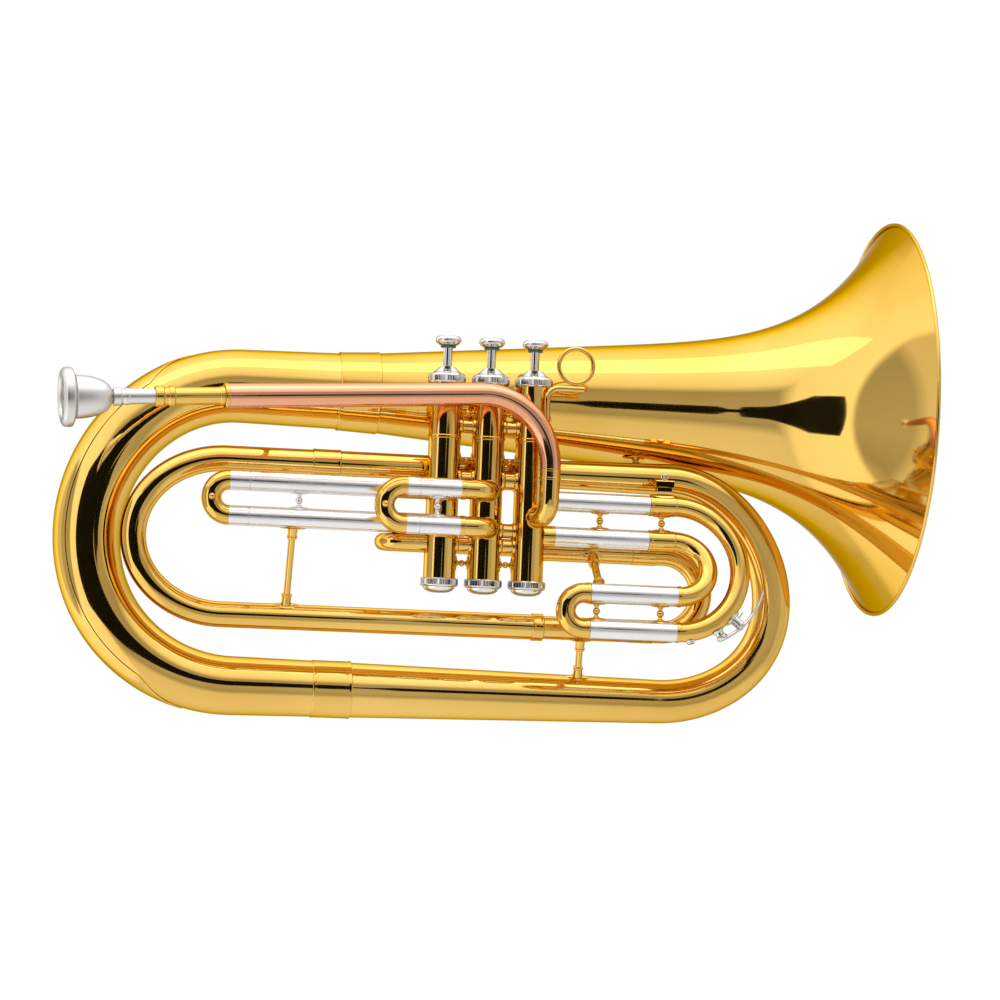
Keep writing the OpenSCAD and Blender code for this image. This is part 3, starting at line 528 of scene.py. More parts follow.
def make_large_tubing():
    low = BOTTOM
    high = bell_line
    bow = u_path(BOTTOM_JOINT_X, LARGE_BOW_X, bell_low.x - GAP, low, high, -1, 96, BOW_STRETCH, BOW_SKEW)
    tube_along("large_left_bow", bow, BOTTOM_R, BELL_START_R, plane_normal(low, high), "large_bow")
    branch = u_path(BOTTOM_JOINT_X + GAP, RIGHT_BOW_X, MID_JOINT_X, low, mid_high, 1, 80, 1, BRANCH_SKEW)
    tube_along("bottom_branch_tube", branch, BOTTOM_R, MID_R, plane_normal(low, mid_high), "bottom_branch")
    reach = MID_BOW_REACH / ((MID_TOP_Z - MID_LOW_Z) / 2)
    middle = u_path(tuning_x0 - GAP, MID_BOW_X, MID_BOW_JOINT_X, mid_low, mid_high, -1, 80, reach)
    tube_along("middle_bow", middle, MID_R - 0.3, MID_R, Y, "mid_bow", 72)
    upper = x_tubes(Shape(), MID_BOW_JOINT_X + GAP, MID_JOINT_X - GAP, MID_Y, [MID_TOP_Z], MID_R, WALL)
    piece("upper_middle_tube", upper, BRASS, nodes=["upper_mid_tube"])

    rings = Shape()
    grow = BELL_SLOPE * 14
    for x0, x1, at, r0, r1 in ((-99, -71, high, BELL_START_R, BELL_START_R + grow),
                               (-110, -83, low, BOTTOM_R, BOTTOM_R), (-117, -98, mid_high, MID_R, MID_R),
                               (-6, 14, mid_high, MID_R, MID_R + 0.2),
                               (38, tuning_x0 - GAP, mid_low, MID_R - 0.2, MID_R - 0.2)):
        outline = [(x0, r0 - 0.3), (x0, r0 + 0.5), (x0 + 0.8, r0 + 0.85), (x0 + 2.2, r0 + 0.6),
                   (x1 - 2.2, r1 + 0.6), (x1 - 0.8, r1 + 0.85), (x1, r1 + 0.5), (x1, r1 - 0.3)]
        rings.lathe(at, X, fillet(outline, 0.4, 4), 96)
    piece("tube_ferrules", rings, BRASS, nodes=["body_ferrules"])
    make_bow_guard(bow, plane_normal(low, high))


def make_bow_guard(bow, normal):
    """Thin plate that wraps the outside of the large bow, with a point at each end."""
    first, last = 9, 88
    half_width = radians(48)
    point_len = 9
    across = 20
    shape = Shape()
    rows = []
    for i in range(first, last + 1):
        centre, share = bow[i]
        r = BOTTOM_R + (BELL_START_R - BOTTOM_R) * share
        way = (bow[i + 1][0] - bow[i - 1][0]).normalized()
        out = way.cross(normal).normalized()
        if out.dot(centre - Vector((LARGE_BOW_X + 60, centre.y, -45))) < 0:
            out = -out
        taper = min(1.0, (i - first + 0.15) / point_len, (last - i + 0.15) / point_len)
        w = half_width * taper
        loop = []
        for rise, order in ((0.75, range(across + 1)), (0.05, range(across, -1, -1))):
            for j in order:
                edge = abs(2 * j / across - 1)
                a = w * (2 * j / across - 1)
                lift = rise - (0.25 if rise > 0.5 and edge > 0.97 else 0)
                loop.append(centre + (out * cos(a) + normal * sin(a)) * (r + lift))
        rows.append(loop)
    shape.loft([[sum(rows[0], Vector()) / len(rows[0])]] + rows + [[sum(rows[-1], Vector()) / len(rows[-1])]])
    piece("bow_guard", shape, BRASS, sharp=50)


def make_tuning_slide():
    turn = MID_Y / 2
    start = [Vector((valve_at[1] - CASING_R + 1, 0, outlet_z))]
    half = arc_path(Vector((OUTLET_TURN_X, turn, outlet_z)), -Y, -X, turn, 0, pi, 40)
    path = start + half + [Vector((tuning_x0 + 4, MID_Y, outlet_z))]
    outlet = Shape().sweep(path, [OUTLET_R] * len(path), Z, 0.6, 48)
    piece("valve_outlet_tube", outlet, BRASS, nodes=["outlet_tube"])

    ends = (outlet_z, MID_LOW_Z)
    sleeves = x_tubes(Shape(), tuning_x0, tuning_x1, MID_Y, ends, TUNING_R, 0.7)
    piece("tuning_outer_tubes", sleeves, BRASS, nodes=["tuning_sleeves"])
    collar = x_tubes(Shape(), tuning_x0 - 6, tuning_x0 + 0.5, MID_Y, [outlet_z], TUNING_R + 0.2, 2.0, 0.6)
    piece("tuning_collar", collar, BRASS)

    crook = Shape()
    bend = (outlet_z - MID_LOW_Z) / 2
    half = arc_path(Vector((TUNING_BOW_X, MID_Y, outlet_z - bend)), Z, X, bend, 0, pi, 64)
    path = [Vector((tuning_x1 + 4, MID_Y, outlet_z))] + half + [Vector((tuning_x1 + 4, MID_Y, MID_LOW_Z))]
    crook.sweep(path, [TUNING_R - 0.2] * len(path), Y, 1, 56)
    x_tubes(crook, tuning_x1 + GAP, TUNING_BOW_X - 6, MID_Y, ends, TUNING_R + 0.15, 1.2, 0.5)
    piece("tuning_bow", crook, BRASS, "tuning_slide", ["tuning_crook"])
    inner = x_tubes(Shape(), tuning_x1 - 48, tuning_x1 + 8, MID_Y, ends, TUNING_R - 0.74, 0.55)
    piece("tuning_inner_tubes", inner, NICKEL, "tuning_slide")


# ---------- Leadpipe and mouthpiece ----------

def make_leadpipe():
    steps = 48
    path = [receiver_end]
    radii = [8.2]
    for i in range(steps + 1):
        a = LEAD_RISE - (LEAD_RISE + pi / 2) * i / steps
        path.append(bend_centre + (Z * cos(a) - lead_level * sin(a)) * LEAD_BEND)
        radii.append(7 + 0.8 * (a + pi / 2) / (LEAD_RISE + pi / 2))
    path.append(drop + Z * (LEAD_LOW - 0.5))
    radii.append(7)
    pipe = Shape().sweep(path, radii, lead_side, WALL, 64)
    piece("leadpipe_tube", pipe, "rose_lacquer", nodes=["leadpipe"])

    base = X * valve_at[3] + Z * PORT_Z
    run = PORT_REACH - ELBOW_R
    quarter = arc_path(base + port_dir * run + Z * ELBOW_R, -Z, port_dir, ELBOW_R, 0, pi / 2, 28)
    path = [base + port_dir * (CASING_R - 1)] + quarter + [drop + Z * (LEAD_LOW - 0.7)]
    elbow = Shape().sweep(path, [ELBOW_TUBE_R] * len(path), port_dir.cross(Z), WALL, 56)
    for low, tall, grow in ((LEAD_LOW - 8, 1.6, 0.55), (LEAD_LOW - 2.4, 1.7, 0.4)):
        band = ring_outline(0, tall, ELBOW_TUBE_R + grow, ELBOW_TUBE_R - 0.3, 0.7)
        elbow.lathe(drop + Z * low, Z, band, 56)
    elbow.lathe(base, port_dir, ring_outline(CASING_R - 0.8, CASING_R + 1.6, ELBOW_TUBE_R + 0.9,
                                             ELBOW_TUBE_R - 0.3, 0.9), 56)
    piece("lead_elbow_tube", elbow, BRASS, nodes=["lead_elbow"])

    outline = [(0, 4.9), (0, 6.4), (0.5, 6.9), (5.1, 6.9), (5.6, 6.2), (6.2, 5.9), (8.4, 5.9), (9.0, 6.3),
               (9.4, 6.9), (12.2, 6.9), (12.8, 6.1), (14.5, 5.85), (42.6, 5.85), (43.2, 6.4), (45.6, 6.4),
               (45.9, 5.9), (45.9, 4.3), (25, 4.3), (25, 4.52)]
    receiver = Shape().lathe(receiver_mouth, lead_dir, fillet(outline, 0.35, 4), 72)
    receiver.lathe(receiver_end, lead_dir, ring_outline(-0.4, 2.6, 8.55, 5.4, 0.9), 72)
    piece("mouthpiece_receiver_tube", receiver, BRASS, nodes=["mouthpiece_receiver"])


def make_mouthpiece():
    half = 19.4
    bowl_steps = 22
    outline = [(0.55, 13.4), (0.1, 14.6), (0, 15.9), (0.25, 17.3), (1.0, 18.5), (2.1, half - 0.15),
               (3.4, half), (6.2, half), (7.2, half - 0.5), (7.9, half - 1.9), (8.4, 16.2), (8.8, 14.9)]
    for i in range(bowl_steps + 1):
        a = pi / 2 * i / bowl_steps
        outline.append((9.4 + 23.6 * sin(a), 2.6 + 11.6 * cos(a) ** 0.9))
    outline += [(33.4, 4.6), (34.0, 5.9), (38.4, 5.9), (39.1, 5.0), (40.6, 4.9), (41.2, 5.6), (43.4, 5.6),
                (44.2, 5.25), (61, 4.86), (85, 4.45), (85, 3.7), (35.6, 3.5)]
    for i in range(bowl_steps + 1):
        a = pi / 2 * i / bowl_steps
        outline.append((1.6 + 20 * cos(a), 3.2 + 9.4 * sin(a)))
    shape = Shape().lathe(mouth_face, lead_dir, fillet(outline, 0.3, 3), 96)
    piece("mouthpiece_cup", shape, SILVER, "mouthpiece_body", ["mouthpiece"], finish="satin_silver")


# ---------- Valves ----------

def make_valve(n):
    at = X * valve_at[n]
    outline = [(casing_low, CASING_R - CASING_WALL), (casing_low, CASING_R), (BELT_Z - 1.1, CASING_R),
               (BELT_Z - 0.8, CASING_R + 0.55), (BELT_Z + 0.8, CASING_R + 0.55), (BELT_Z + 1.1, CASING_R),
               (casing_high, CASING_R), (casing_high, CASING_R - CASING_WALL)]
    casing = Shape().lathe(at, Z, fillet(outline, 0.3, 4), 96)
    piece(f"casing_{n}", casing, BRASS, nodes=[f"valve_casing_{n}"])

    skirt = CAP_SKIRT_Z
    bore = CASING_R - CASING_WALL
    outline = [(skirt, CASING_R + 0.05), (skirt, CAP_R - 0.9), (skirt + 1.1, CAP_R), (skirt + 5.0, CAP_R),
               (skirt + 6.3, CAP_R - 1.1), (skirt + 7.6, CAP_R - 3.6), (skirt + 9.2, 7.6),
               (skirt + 11.0, 5.6),
               (CAP_NECK_Z, 4.9), (CAP_NECK_Z, STEM_R + 0.08), (casing_high + 4, STEM_R + 0.08),
               (casing_high + 2, bore), (casing_high + 0.1, bore), (casing_high + 0.1, CASING_R + 0.05)]
    top = Shape().lathe(at, Z, fillet(outline, 0.5, 5), 288, 72, 0.22, (skirt + 1.2, skirt + 4.9))
    piece(f"top_cap_{n}_turned", top, SILVER, nodes=[f"top_cap_{n}"])

    edge, rim_low, dome = BOTTOM_CAP_Z, BOTTOM_RIM_Z, 4.6
    outline = [(casing_low - 0.1, CASING_R + 0.05), (edge, CASING_R + 0.05), (edge, CAP_R - 0.6),
               (edge - 0.7, CAP_R), (rim_low + 0.7, CAP_R), (rim_low - 0.1, CAP_R - 0.7)]
    for i in range(1, 15):
        a = pi / 2 * i / 14
        outline.append((rim_low - 0.1 - dome * sin(a), 1.2 + (CAP_R - 3.2) * cos(a) ** 0.8))
    outline += [(casing_low - 4.4, 1.2), (casing_low - 4.4, 8.6), (casing_low - 0.1, 8.6)]
    bottom = Shape().lathe(at, Z, fillet(outline, 0.3, 4), 288, 72, 0.22, (rim_low + 0.8, edge - 0.8))
    piece(f"bottom_cap_{n}_turned", bottom, SILVER, nodes=[f"bottom_cap_{n}"])

    body = f"valve_{n}"
    low, high = box(f"finger_button_{n}")
    half = (high.x - low.x) / 2
    outline = [(0, 0), (0, half - 3.0), (0.9, half - 1.7), (2.0, half - 0.5), (3.2, half), (4.4, half - 0.1),
               (5.6, half - 0.8), (6.3, half - 1.9), (6.5, half - 3), (6.2, half - 4.2), (5.8, half - 5.2),
               (5.7, 0)]
    button = Shape().lathe(at + Z * low.z, Z, fillet(outline, 0.6, 5, closed=False), 72)
    piece(f"button_{n}", button, SILVER, body, [f"finger_button_{n}"])
    low, high = box(f"valve_stem_{n}")
    outline = [(low.z, 0), (low.z, 5.4), (low.z + 2, 5.4), (low.z + 2.4, STEM_R), (high.z, STEM_R),
               (high.z, 0)]
    stem = Shape().lathe(at, Z, fillet(outline, 0.25, 3, closed=False), 48)
    piece(f"stem_{n}", stem, SILVER, body, [f"valve_stem_{n}"])
    low, high = box(f"button_felt_{n}")
    felt = Shape().lathe(at, Z, ring_outline(low.z, high.z, 5.2, STEM_R + 0.02, 0.5), 48)
    piece(f"felt_{n}", felt, "felt", body, [f"button_felt_{n}"])


def ball_brace(shape, a, b, along, r_a, r_b, half_len=5.6, half_width=3.4):
    """Turned brace with a ball in its middle, between two oval plates on tubes along that direction.
    a and b are points on the surfaces, and r_a and r_b the radii of the tubes behind them."""
    way = (b - a).normalized()
    span = (b - a).length
    mid = span / 2
    ball = min(2.5, span * 0.27)
    outline = [(-0.2, 0), (-0.2, 2.6), (0.9, 2.4), (1.5, 1.6)]
    for i in range(13):
        t = pi * (0.16 + 0.68 * i / 12)
        outline.append((mid - ball * cos(t), ball * sin(t)))
    outline += [(span - 1.5, 1.6), (span - 0.9, 2.4), (span + 0.2, 2.6), (span + 0.2, 0)]
    shape.lathe(a, way, fillet(outline, 0.3, 3, closed=False), 32)
    shape.saddle(a - way * r_a, along, way, r_a, half_len, half_width, 0.8)
    shape.saddle(b + way * r_b, along, -way, r_b, half_len, half_width, 0.8)


def make_knuckles():
    ports = Shape()
    for x0, x1, heights in ((first_x1 - 4.4, valve_at[1] - CASING_R + 1.5, (first_z, first_low_z)),
                            (valve_at[3] + CASING_R - 1.5, PORT_END_X, THIRD_BACK)):
        x_tubes(ports, x0, x1, 0, heights, SLEEVE_R + 0.25, 1, 0.5)
    for gap in (1, 2):
        x0, x1 = valve_at[gap] + CASING_R - 1.5, valve_at[gap + 1] - CASING_R + 1.5
        for z, r in ((BELT_Z + 8, 4.6), (-2, 6.2), (outlet_z, 5), (-36, 4.9))[:gap + 2]:
            mid = (x0 + x1) / 2
            outline = [(x0, r - 0.8), (x0, r + 1.2), (x0 + 1.8, r + 0.9), (x0 + 2.6, r), (x1 - 2.6, r),
                       (x1 - 1.8, r + 0.9), (x1, r + 1.2), (x1, r - 0.8)]
            ports.lathe(Vector((0, 0, z)), X, fillet(outline, 0.5, 4), 48)
    piece("casing_ports", ports, BRASS, nodes=["valve_knuckles"])

    elbows = Shape()
    bend = -second_y - CASING_R
    for z in (second_z, second_low_z):
        quarter = arc_path(Vector((-bend, second_y + bend, z)), -Y, X, bend, 0, pi / 2, 24)
        path = [Vector((second_x1 + 0.2, second_y, z))] + quarter + [Vector((0, -CASING_R + 3, z))]
        elbows.sweep(path, [SLEEVE_R] * len(path), Z, 1, 48)
        elbows.lathe(Vector((0, 0, z)), -Y, ring_outline(CASING_R - 1.6, CASING_R + 1.2, SLEEVE_R + 0.8,
                                                         SLEEVE_R - 0.5, 0.9), 48)
        x_tubes(elbows, second_x1 - 1.2, second_x1 + 2.2, second_y, [z], SLEEVE_R + 0.35, 0.9, 0.45)
    piece("second_slide_elbows", elbows, BRASS, nodes=["second_elbows"])

    braces = Shape()
    for gap in (1, 2):
        for z in (BELT_Z + 17, BELT_Z - 15, -59):
            a = Vector((valve_at[gap] + CASING_R, 0, z))
            b = Vector((valve_at[gap + 1] - CASING_R, 0, z))
            ball_brace(braces, a, b, Z, CASING_R, CASING_R, 5.2, 3.6)
    piece("casing_braces", braces, BRASS, nodes=["valve_braces"])


# ---------- Valve slides ----------

def knob(shape, at):
    """Small turned pull knob that stands out towards the front."""
    outline = [(-0.5, 0), (-0.5, 2.3), (0.3, 2.2), (0.9, 1.1), (1.6, 1.0)]
    for i in range(11):
        t = pi * (0.2 + 0.72 * i / 10)
        outline.append((3.3 - 2.0 * cos(t), 2.0 * sin(t)))
    outline.append((5.3, 0))
    shape.lathe(at, -Y, fillet(outline, 0.2, 3, closed=False), 36)


def pull_bow(shape, x_centre, x_end, y, z_high, z_low, wall=1.0):
    """Left-hand bow of a pull slide, with its two short legs."""
    r = (z_high - z_low) / 2
    half = arc_path(Vector((x_centre, y, z_high - r)), Z, -X, r, 0, pi, 48)
    path = [Vector((x_end, y, z_high))] + half + [Vector((x_end, y, z_low))]
    shape.sweep(path, [BOW_R] * len(path), Y, wall, 48)


def make_left_slide(name, x0, x1, y, high, low, ferrule, bow_x, lap, inner_end):
    """A slide that pulls to the left: outer tubes, pull bow with its knob, inner tubes."""
    ends = (high, low)
    sleeves = x_tubes(Shape(), x0, x1, y, ends, SLEEVE_R, 0.6)
    piece(f"{name}_outer_tubes", sleeves, NICKEL, nodes=[f"{name}_sleeves"])
    end = x0 - GAP
    start = end - ferrule
    bow = Shape()
    pull_bow(bow, bow_x, start + lap, y, high, low)
    knob(bow, Vector((bow_x - (high - low) / 2, y - BOW_R + 0.3, (high + low) / 2)))
    piece(f"{name}_pull_bow", bow, BRASS, f"{name}_slide", [f"{name}_crook"])
    legs_in = x_tubes(Shape(), start, end, y, ends, SLEEVE_R, 1.4, 0.35)
    x_tubes(legs_in, start + 2, inner_end, y, ends, INNER_R, 0.5)
    piece(f"{name}_inner_tubes", legs_in, NICKEL, f"{name}_slide")


def make_left_slides():
    make_left_slide("first", first_x0, first_x1, first_y, first_z, first_low_z, FIRST_FERRULE,
                    first_x0 - GAP - FIRST_FERRULE, 1, FIRST_INNER_END)
    make_left_slide("second", second_x0, second_x1, second_y, second_z, second_low_z, SECOND_FERRULE,
                    SECOND_BOW_X, 0.5, SECOND_INNER_END)


def make_third_slide():
    sleeves = x_tubes(Shape(), THIRD_START_X, THIRD_FERRULE_X - 0.1, 0, THIRD_BACK, SLEEVE_R, 0.6)
    x_tubes(sleeves, THIRD_PULL_X, THIRD_BEND_X - 0.1, -THIRD_FRONT, THIRD_LOW, SLEEVE_R, 0.6)
    piece("third_outer_tubes", sleeves, NICKEL, nodes=["third_sleeves"])

    for name, up, z, node in (("third_outer_bow", outer_up, THIRD_Z, "third_outer_bend"),
                              ("third_inner_bow", inner_up, THIRD_Z - THIRD_GAP, "third_inner_bend")):
        r = up.length / 2
        w = up.normalized()
        half = arc_path(outer_centre, w, X, r, 0, pi, 64)
        path = [half[0] - X * 4] + half + [half[-1] - X * 0.5]
        bow = Shape().sweep(path, [BOW_R] * len(path), X.cross(w), 1, 56)
        outline = [(THIRD_FERRULE_X, SLEEVE_R - 1), (THIRD_FERRULE_X, SLEEVE_R + 0.45),
                   (THIRD_FERRULE_X + 1.6, SLEEVE_R + 0.45), (THIRD_FERRULE_X + 2.2, SLEEVE_R + 0.25),
                   (THIRD_BEND_X - 0.8, SLEEVE_R + 0.25), (THIRD_BEND_X, SLEEVE_R - 0.05),
                   (THIRD_BEND_X, SLEEVE_R - 1)]
        bow.lathe(Vector((0, 0, z)), X, fillet(outline, 0.35, 4), 56)
        low = Vector((0, -THIRD_FRONT, half[-1].z))
        bow.lathe(low, X, ring_outline(THIRD_BEND_X - 1.6, THIRD_BEND_X + 1.2, SLEEVE_R + 0.4, SLEEVE_R - 0.6,
                                       0.5), 56)
        piece(name, bow, BRASS, nodes=[node])

    crook = Shape()
    end = THIRD_PULL_X - GAP
    pull_bow(crook, THIRD_BOW_X, end, -THIRD_FRONT, *THIRD_LOW)
    x_tubes(crook, end - 2.6, end, -THIRD_FRONT, THIRD_LOW, SLEEVE_R + 0.3, 1, 0.45)
    piece("third_pull_bow", crook, BRASS, "third_slide", ["third_crook"])
    legs_in = x_tubes(Shape(), THIRD_BOW_X + 1, THIRD_BEND_X - 4, -THIRD_FRONT, THIRD_LOW, INNER_R, 0.5)
    piece("third_inner_tubes", legs_in, NICKEL, "third_slide")


# ---------- Braces, stays and fittings ----------

def leg_brace(shape, x, y, z, gap, r=SLEEVE_R):
    """Ball brace between two tubes of a slide, one that far under the other."""
    ball_brace(shape, Vector((x, y, z - r)), Vector((x, y, z - gap + r)), X, r, r, 6.4, 4.2)


def stay(shape, a, r_a, b, r_b, r=2.3, foot=9.0):
    """Post with a socket at each end on an oval foot. a and b are on the axes of the tubes it joins."""
    way = (b - a).normalized()
    start = a + way * r_a
    span = (b - a).length - r_a - r_b
    sock = min(7.5, span * 0.3)
    half = [(-0.6, 0), (-0.6, r * 1.5), (sock * 0.2, r * 1.45), (sock * 0.78, r * 1.3),
            (sock * 0.8, r * 1.55), (sock, r * 1.55), (sock * 1.03, r)]
    outline = half + [(span - s, q) for s, q in half[::-1]]
    shape.lathe(start, way, fillet(outline, 0.4, 4, closed=False), 40)
    shape.saddle(a, X, way, r_a, foot, r * 2.1, 0.9)
    shape.saddle(b, X, -way, r_b, foot, r * 2.1, 0.9)


def make_braces():
    silver = Shape()
    leg_brace(silver, -127, 0, first_z, first_z - first_low_z)
    leg_brace(silver, -36, second_y, second_z, second_z - second_low_z)
    piece("slide_braces_silver", silver, NICKEL, nodes=["slide_braces"])
    gold = Shape()
    for x, y, z, r in ((79, 0, THIRD_Z, SLEEVE_R), (122, 0, THIRD_Z, SLEEVE_R + 0.25),
                       (75, -THIRD_FRONT, THIRD_LOW_Z, SLEEVE_R), (119, -THIRD_FRONT, THIRD_LOW_Z, SLEEVE_R)):
        leg_brace(gold, x, y, z, THIRD_GAP, r)
    piece("slide_braces_gold", gold, BRASS)

    posts = Shape()
    stay(posts, Vector((-130, 0, first_low_z)), SLEEVE_R, mid_low - X * 131.4, MID_R - 0.2)
    stay(posts, mid_low + X * 73, TUNING_R, BOTTOM + X * 74.4, 16.12, foot=8)
    stay(posts, Vector((78, MID_Y, outlet_z)), TUNING_R, Vector((78, -THIRD_FRONT, THIRD_LOW_Z)),
         SLEEVE_R, 2.6, 7)
    stay(posts, mid_high + X * 108, 10.66, bell_line + X * 108, bell_r(108), 1.9, 9)
    lead = receiver_end + lead_dir * 38
    stay(posts, lead, 8.1, bell_line + X * lead.x, BELL_START_R, 2, 8)
    for n in (1, 3):
        a = Vector((valve_at[n], 0, 50))
        r = bell_r(valve_at[n])
        b = Vector((valve_at[n], bell_axis.y, 50))
        stay(posts, a, CASING_R, b, sqrt(r * r - (bell_axis.z - 50) ** 2), 1.9, 6)
    piece("tube_stays", posts, BRASS, nodes=["body_stays"])


def make_finger_fittings():
    low, high = box("finger_hook")
    r = (high.y - low.y) / 2
    y = (high.y + low.y) / 2
    bend = 8
    x = low.x + r
    top = high.z - r
    quarter = arc_path(Vector((x + bend, y, top - bend)), -X, Z, bend, 0, pi / 2, 20)
    ends = []
    for at, way in ((Vector((x, y, low.z)), Z), (Vector((high.x, y, top)), -X)):
        ends.append([(at + way * (0.8 * (1 - sin(a))), r - 0.8 * (1 - cos(a)))
                     for a in (pi / 2 * (1 - i / 4) for i in range(5))])
    rod = ends[0] + [(p, r) for p in quarter] + ends[1][::-1]
    hook = Shape().sweep([p for p, _ in rod], [q for _, q in rod], Y, sides=40)
    out = Vector((x - valve_at[3], y, 0)).normalized()
    hook.saddle(Vector((valve_at[3], 0, 32)), Z, out, CASING_R, 15, 4.2, 0.7)
    piece("finger_hook_rod", hook, BRASS, nodes=["finger_hook"])
    low, high = box("finger_ring")
    wire = (high.y - low.y) / 2
    ring_r = (high.z - low.z) / 2 - wire
    section = [(wire * c, ring_r + wire * d) for c, d in circle(20)]
    ring = Shape().lathe((low + high) / 2, Y, section, 96)
    piece("finger_ring_wire", ring, BRASS, nodes=["finger_ring"])


def block(shape, low, high, edge=0.6, steps=3):
    """Block with rounded upright edges and softened top and bottom."""
    cx, cy = (low.x + high.x) / 2, (low.y + high.y) / 2
    hx, hy = (high.x - low.x) / 2, (high.y - low.y) / 2

    def ring(z, inset):
        points = []
        for sx, sy, a0 in ((1, 1, 0), (-1, 1, 1), (-1, -1, 2), (1, -1, 3)):
            for k in range(steps + 1):
                a = pi / 2 * (a0 + k / steps)
                points.append(Vector((cx + sx * (hx - edge) + (edge - inset) * cos(a),
                                      cy + sy * (hy - edge) + (edge - inset) * sin(a), z)))
        return points
    soft = edge * 0.6
    rings = [[Vector((cx, cy, low.z))], ring(low.z, soft), ring(low.z + soft, 0), ring(high.z - soft, 0),
             ring(high.z, soft), [Vector((cx, cy, high.z))]]
    shape.loft(rings)


def make_lyre_holder():
    low, high = box("lyre_holder")
    at = Vector(((low.x + high.x) / 2, 0, THIRD_Z + SLEEVE_R + 7))
    holder = Shape()
    block(holder, at + Vector((-7, -4.4, -1.2)), at + Vector((7, 4.4, 3.6)), 0.9)
    block(holder, at + Vector((-5.6, -3.6, -4.2)), at + Vector((5.6, 3.6, -0.8)), 0.8)
    holder.lathe(at, Z, ring_outline(3.2, 4.8, 3.0, 1.55, 0.4), 40)
    holder.saddle(Vector((at.x, 0, THIRD_Z)), X, Z, SLEEVE_R + 0.25, 9.5, 5.2, 1.2)
    piece("lyre_holder_block", holder, BRASS, nodes=["lyre_holder"])
    s_low, s_high = box("lyre_screw")
    outline = [(s_low.z, 0), (s_low.z, 1.5), (s_high.z - 3, 1.5), (s_high.z - 3, 2.2), (s_high.z - 2.6, 2.7),
               (s_high.z - 0.5, 2.7), (s_high.z, 2.2), (s_high.z, 0)]
    screw = Shape().lathe(Vector((at.x, 0, 0)), Z, fillet(outline, 0.15, 2, closed=False), 96, 16, 0.35,
                          (s_high.z - 2.7, s_high.z - 0.3))
    piece("lyre_thumb_screw", screw, SILVER, "lyre_thumbscrew", ["lyre_screw"])


def make_water_key():
    base = outer_r + BOW_R
    saddle = Shape()
    out = bend_dir(KEY_PAD)
    outline = [(base - 0.6, 1.6), (base - 0.6, 4.0), (base + 0.5, 3.6), (base + 1.2, 2.9), (base + 3.1, 2.9),
               (base + 3.4, 2.5), (base + 3.4, 1.6)]
    saddle.lathe(outer_centre, out, fillet(outline, 0.25, 3), 40)
    out = bend_dir(KEY_PIVOT)
    along = out.cross(key_axis)
    saddle.saddle(outer_centre + out * outer_r, along, out, BOW_R, 6.0, 4.6, 1.5)
    pivot = bend_at(KEY_PIVOT, KEY_PIVOT_R)
    foot = bend_at(KEY_PIVOT, base + 0.8)
    for side in (-1, 1):
        middle = key_axis * side * 3.4
        path = [foot + middle, (foot + pivot) / 2 + middle, pivot + middle, pivot + middle + out * 1.6,
                pivot + middle + out * 2.3]
        saddle.bar(path, key_axis, [0.8] * 4 + [0.5], [2.6, 2.3, 2.4, 1.8, 0.6])
    outline = [(-5.2, 0), (-5.2, 1.5), (-4.3, 1.6), (-4.1, 1.1), (4.1, 1.1), (4.3, 1.6), (5.2, 1.5), (5.2, 0)]
    saddle.lathe(pivot, key_axis, fillet(outline, 0.2, 3, closed=False), 32)
    outline = [(base - 0.4, 0), (base - 0.4, 3.2), (base + 0.5, 2.7), (base + 1.9, 2.4), (base + 1.9, 0)]
    saddle.lathe(outer_centre, bend_dir(KEY_STOP), fillet(outline, 0.4, 4, closed=False), 36)
    piece("water_key_mount", saddle, SILVER, nodes=["water_key_saddle"])

    lever = Shape()
    pad_at = base + 3.45
    out = bend_dir(KEY_PAD)
    cup = [(3.9, 0), (3.6, 2.2), (2.7, 3.5), (1.4, 4.0), (0.5, 3.9), (0.5, 3.2), (1.4, 3.15), (1.4, 0)]
    lever.lathe(outer_centre, out, fillet([(pad_at + s, r) for s, r in cup], 0.3, 4, closed=False), 40)
    count = 26
    path, widths, depths = [], [], []
    for i in range(count + 1):
        t = i / count
        angle = KEY_PAD + (KEY_TOUCH - KEY_PAD) * t
        lift = (pad_at + 2.8) * (1 - t) ** 2 + 2 * t * (1 - t) * (KEY_PIVOT_R + 2.2) + KEY_TOUCH_R * t * t
        path.append(bend_at(angle, lift))
        swell = max(0.0, (t - 0.62) / 0.38)
        widths.append(1.25 + 2.1 * sin(min(1.0, swell * 1.25) * pi / 2) if t < 0.985 else 1.6)
        depths.append(1.2 - 0.5 * min(1.0, swell * 1.4))
    lever.bar(path, key_axis, widths, depths)
    lever.lathe(pivot, key_axis, ring_outline(-2.3, 2.3, 2.5, 1.2, 0.5), 36)
    piece("water_key_arm", lever, SILVER, "water_key", ["water_key_lever"])
    outline = [(pad_at, 0), (pad_at, 3.1), (pad_at + 1.35, 3.1), (pad_at + 1.35, 0)]
    cork = Shape().lathe(outer_centre, out, fillet(outline, 0.3, 4, closed=False), 36)
    piece("water_key_pad", cork, "cork", "water_key", ["water_key_cork"])


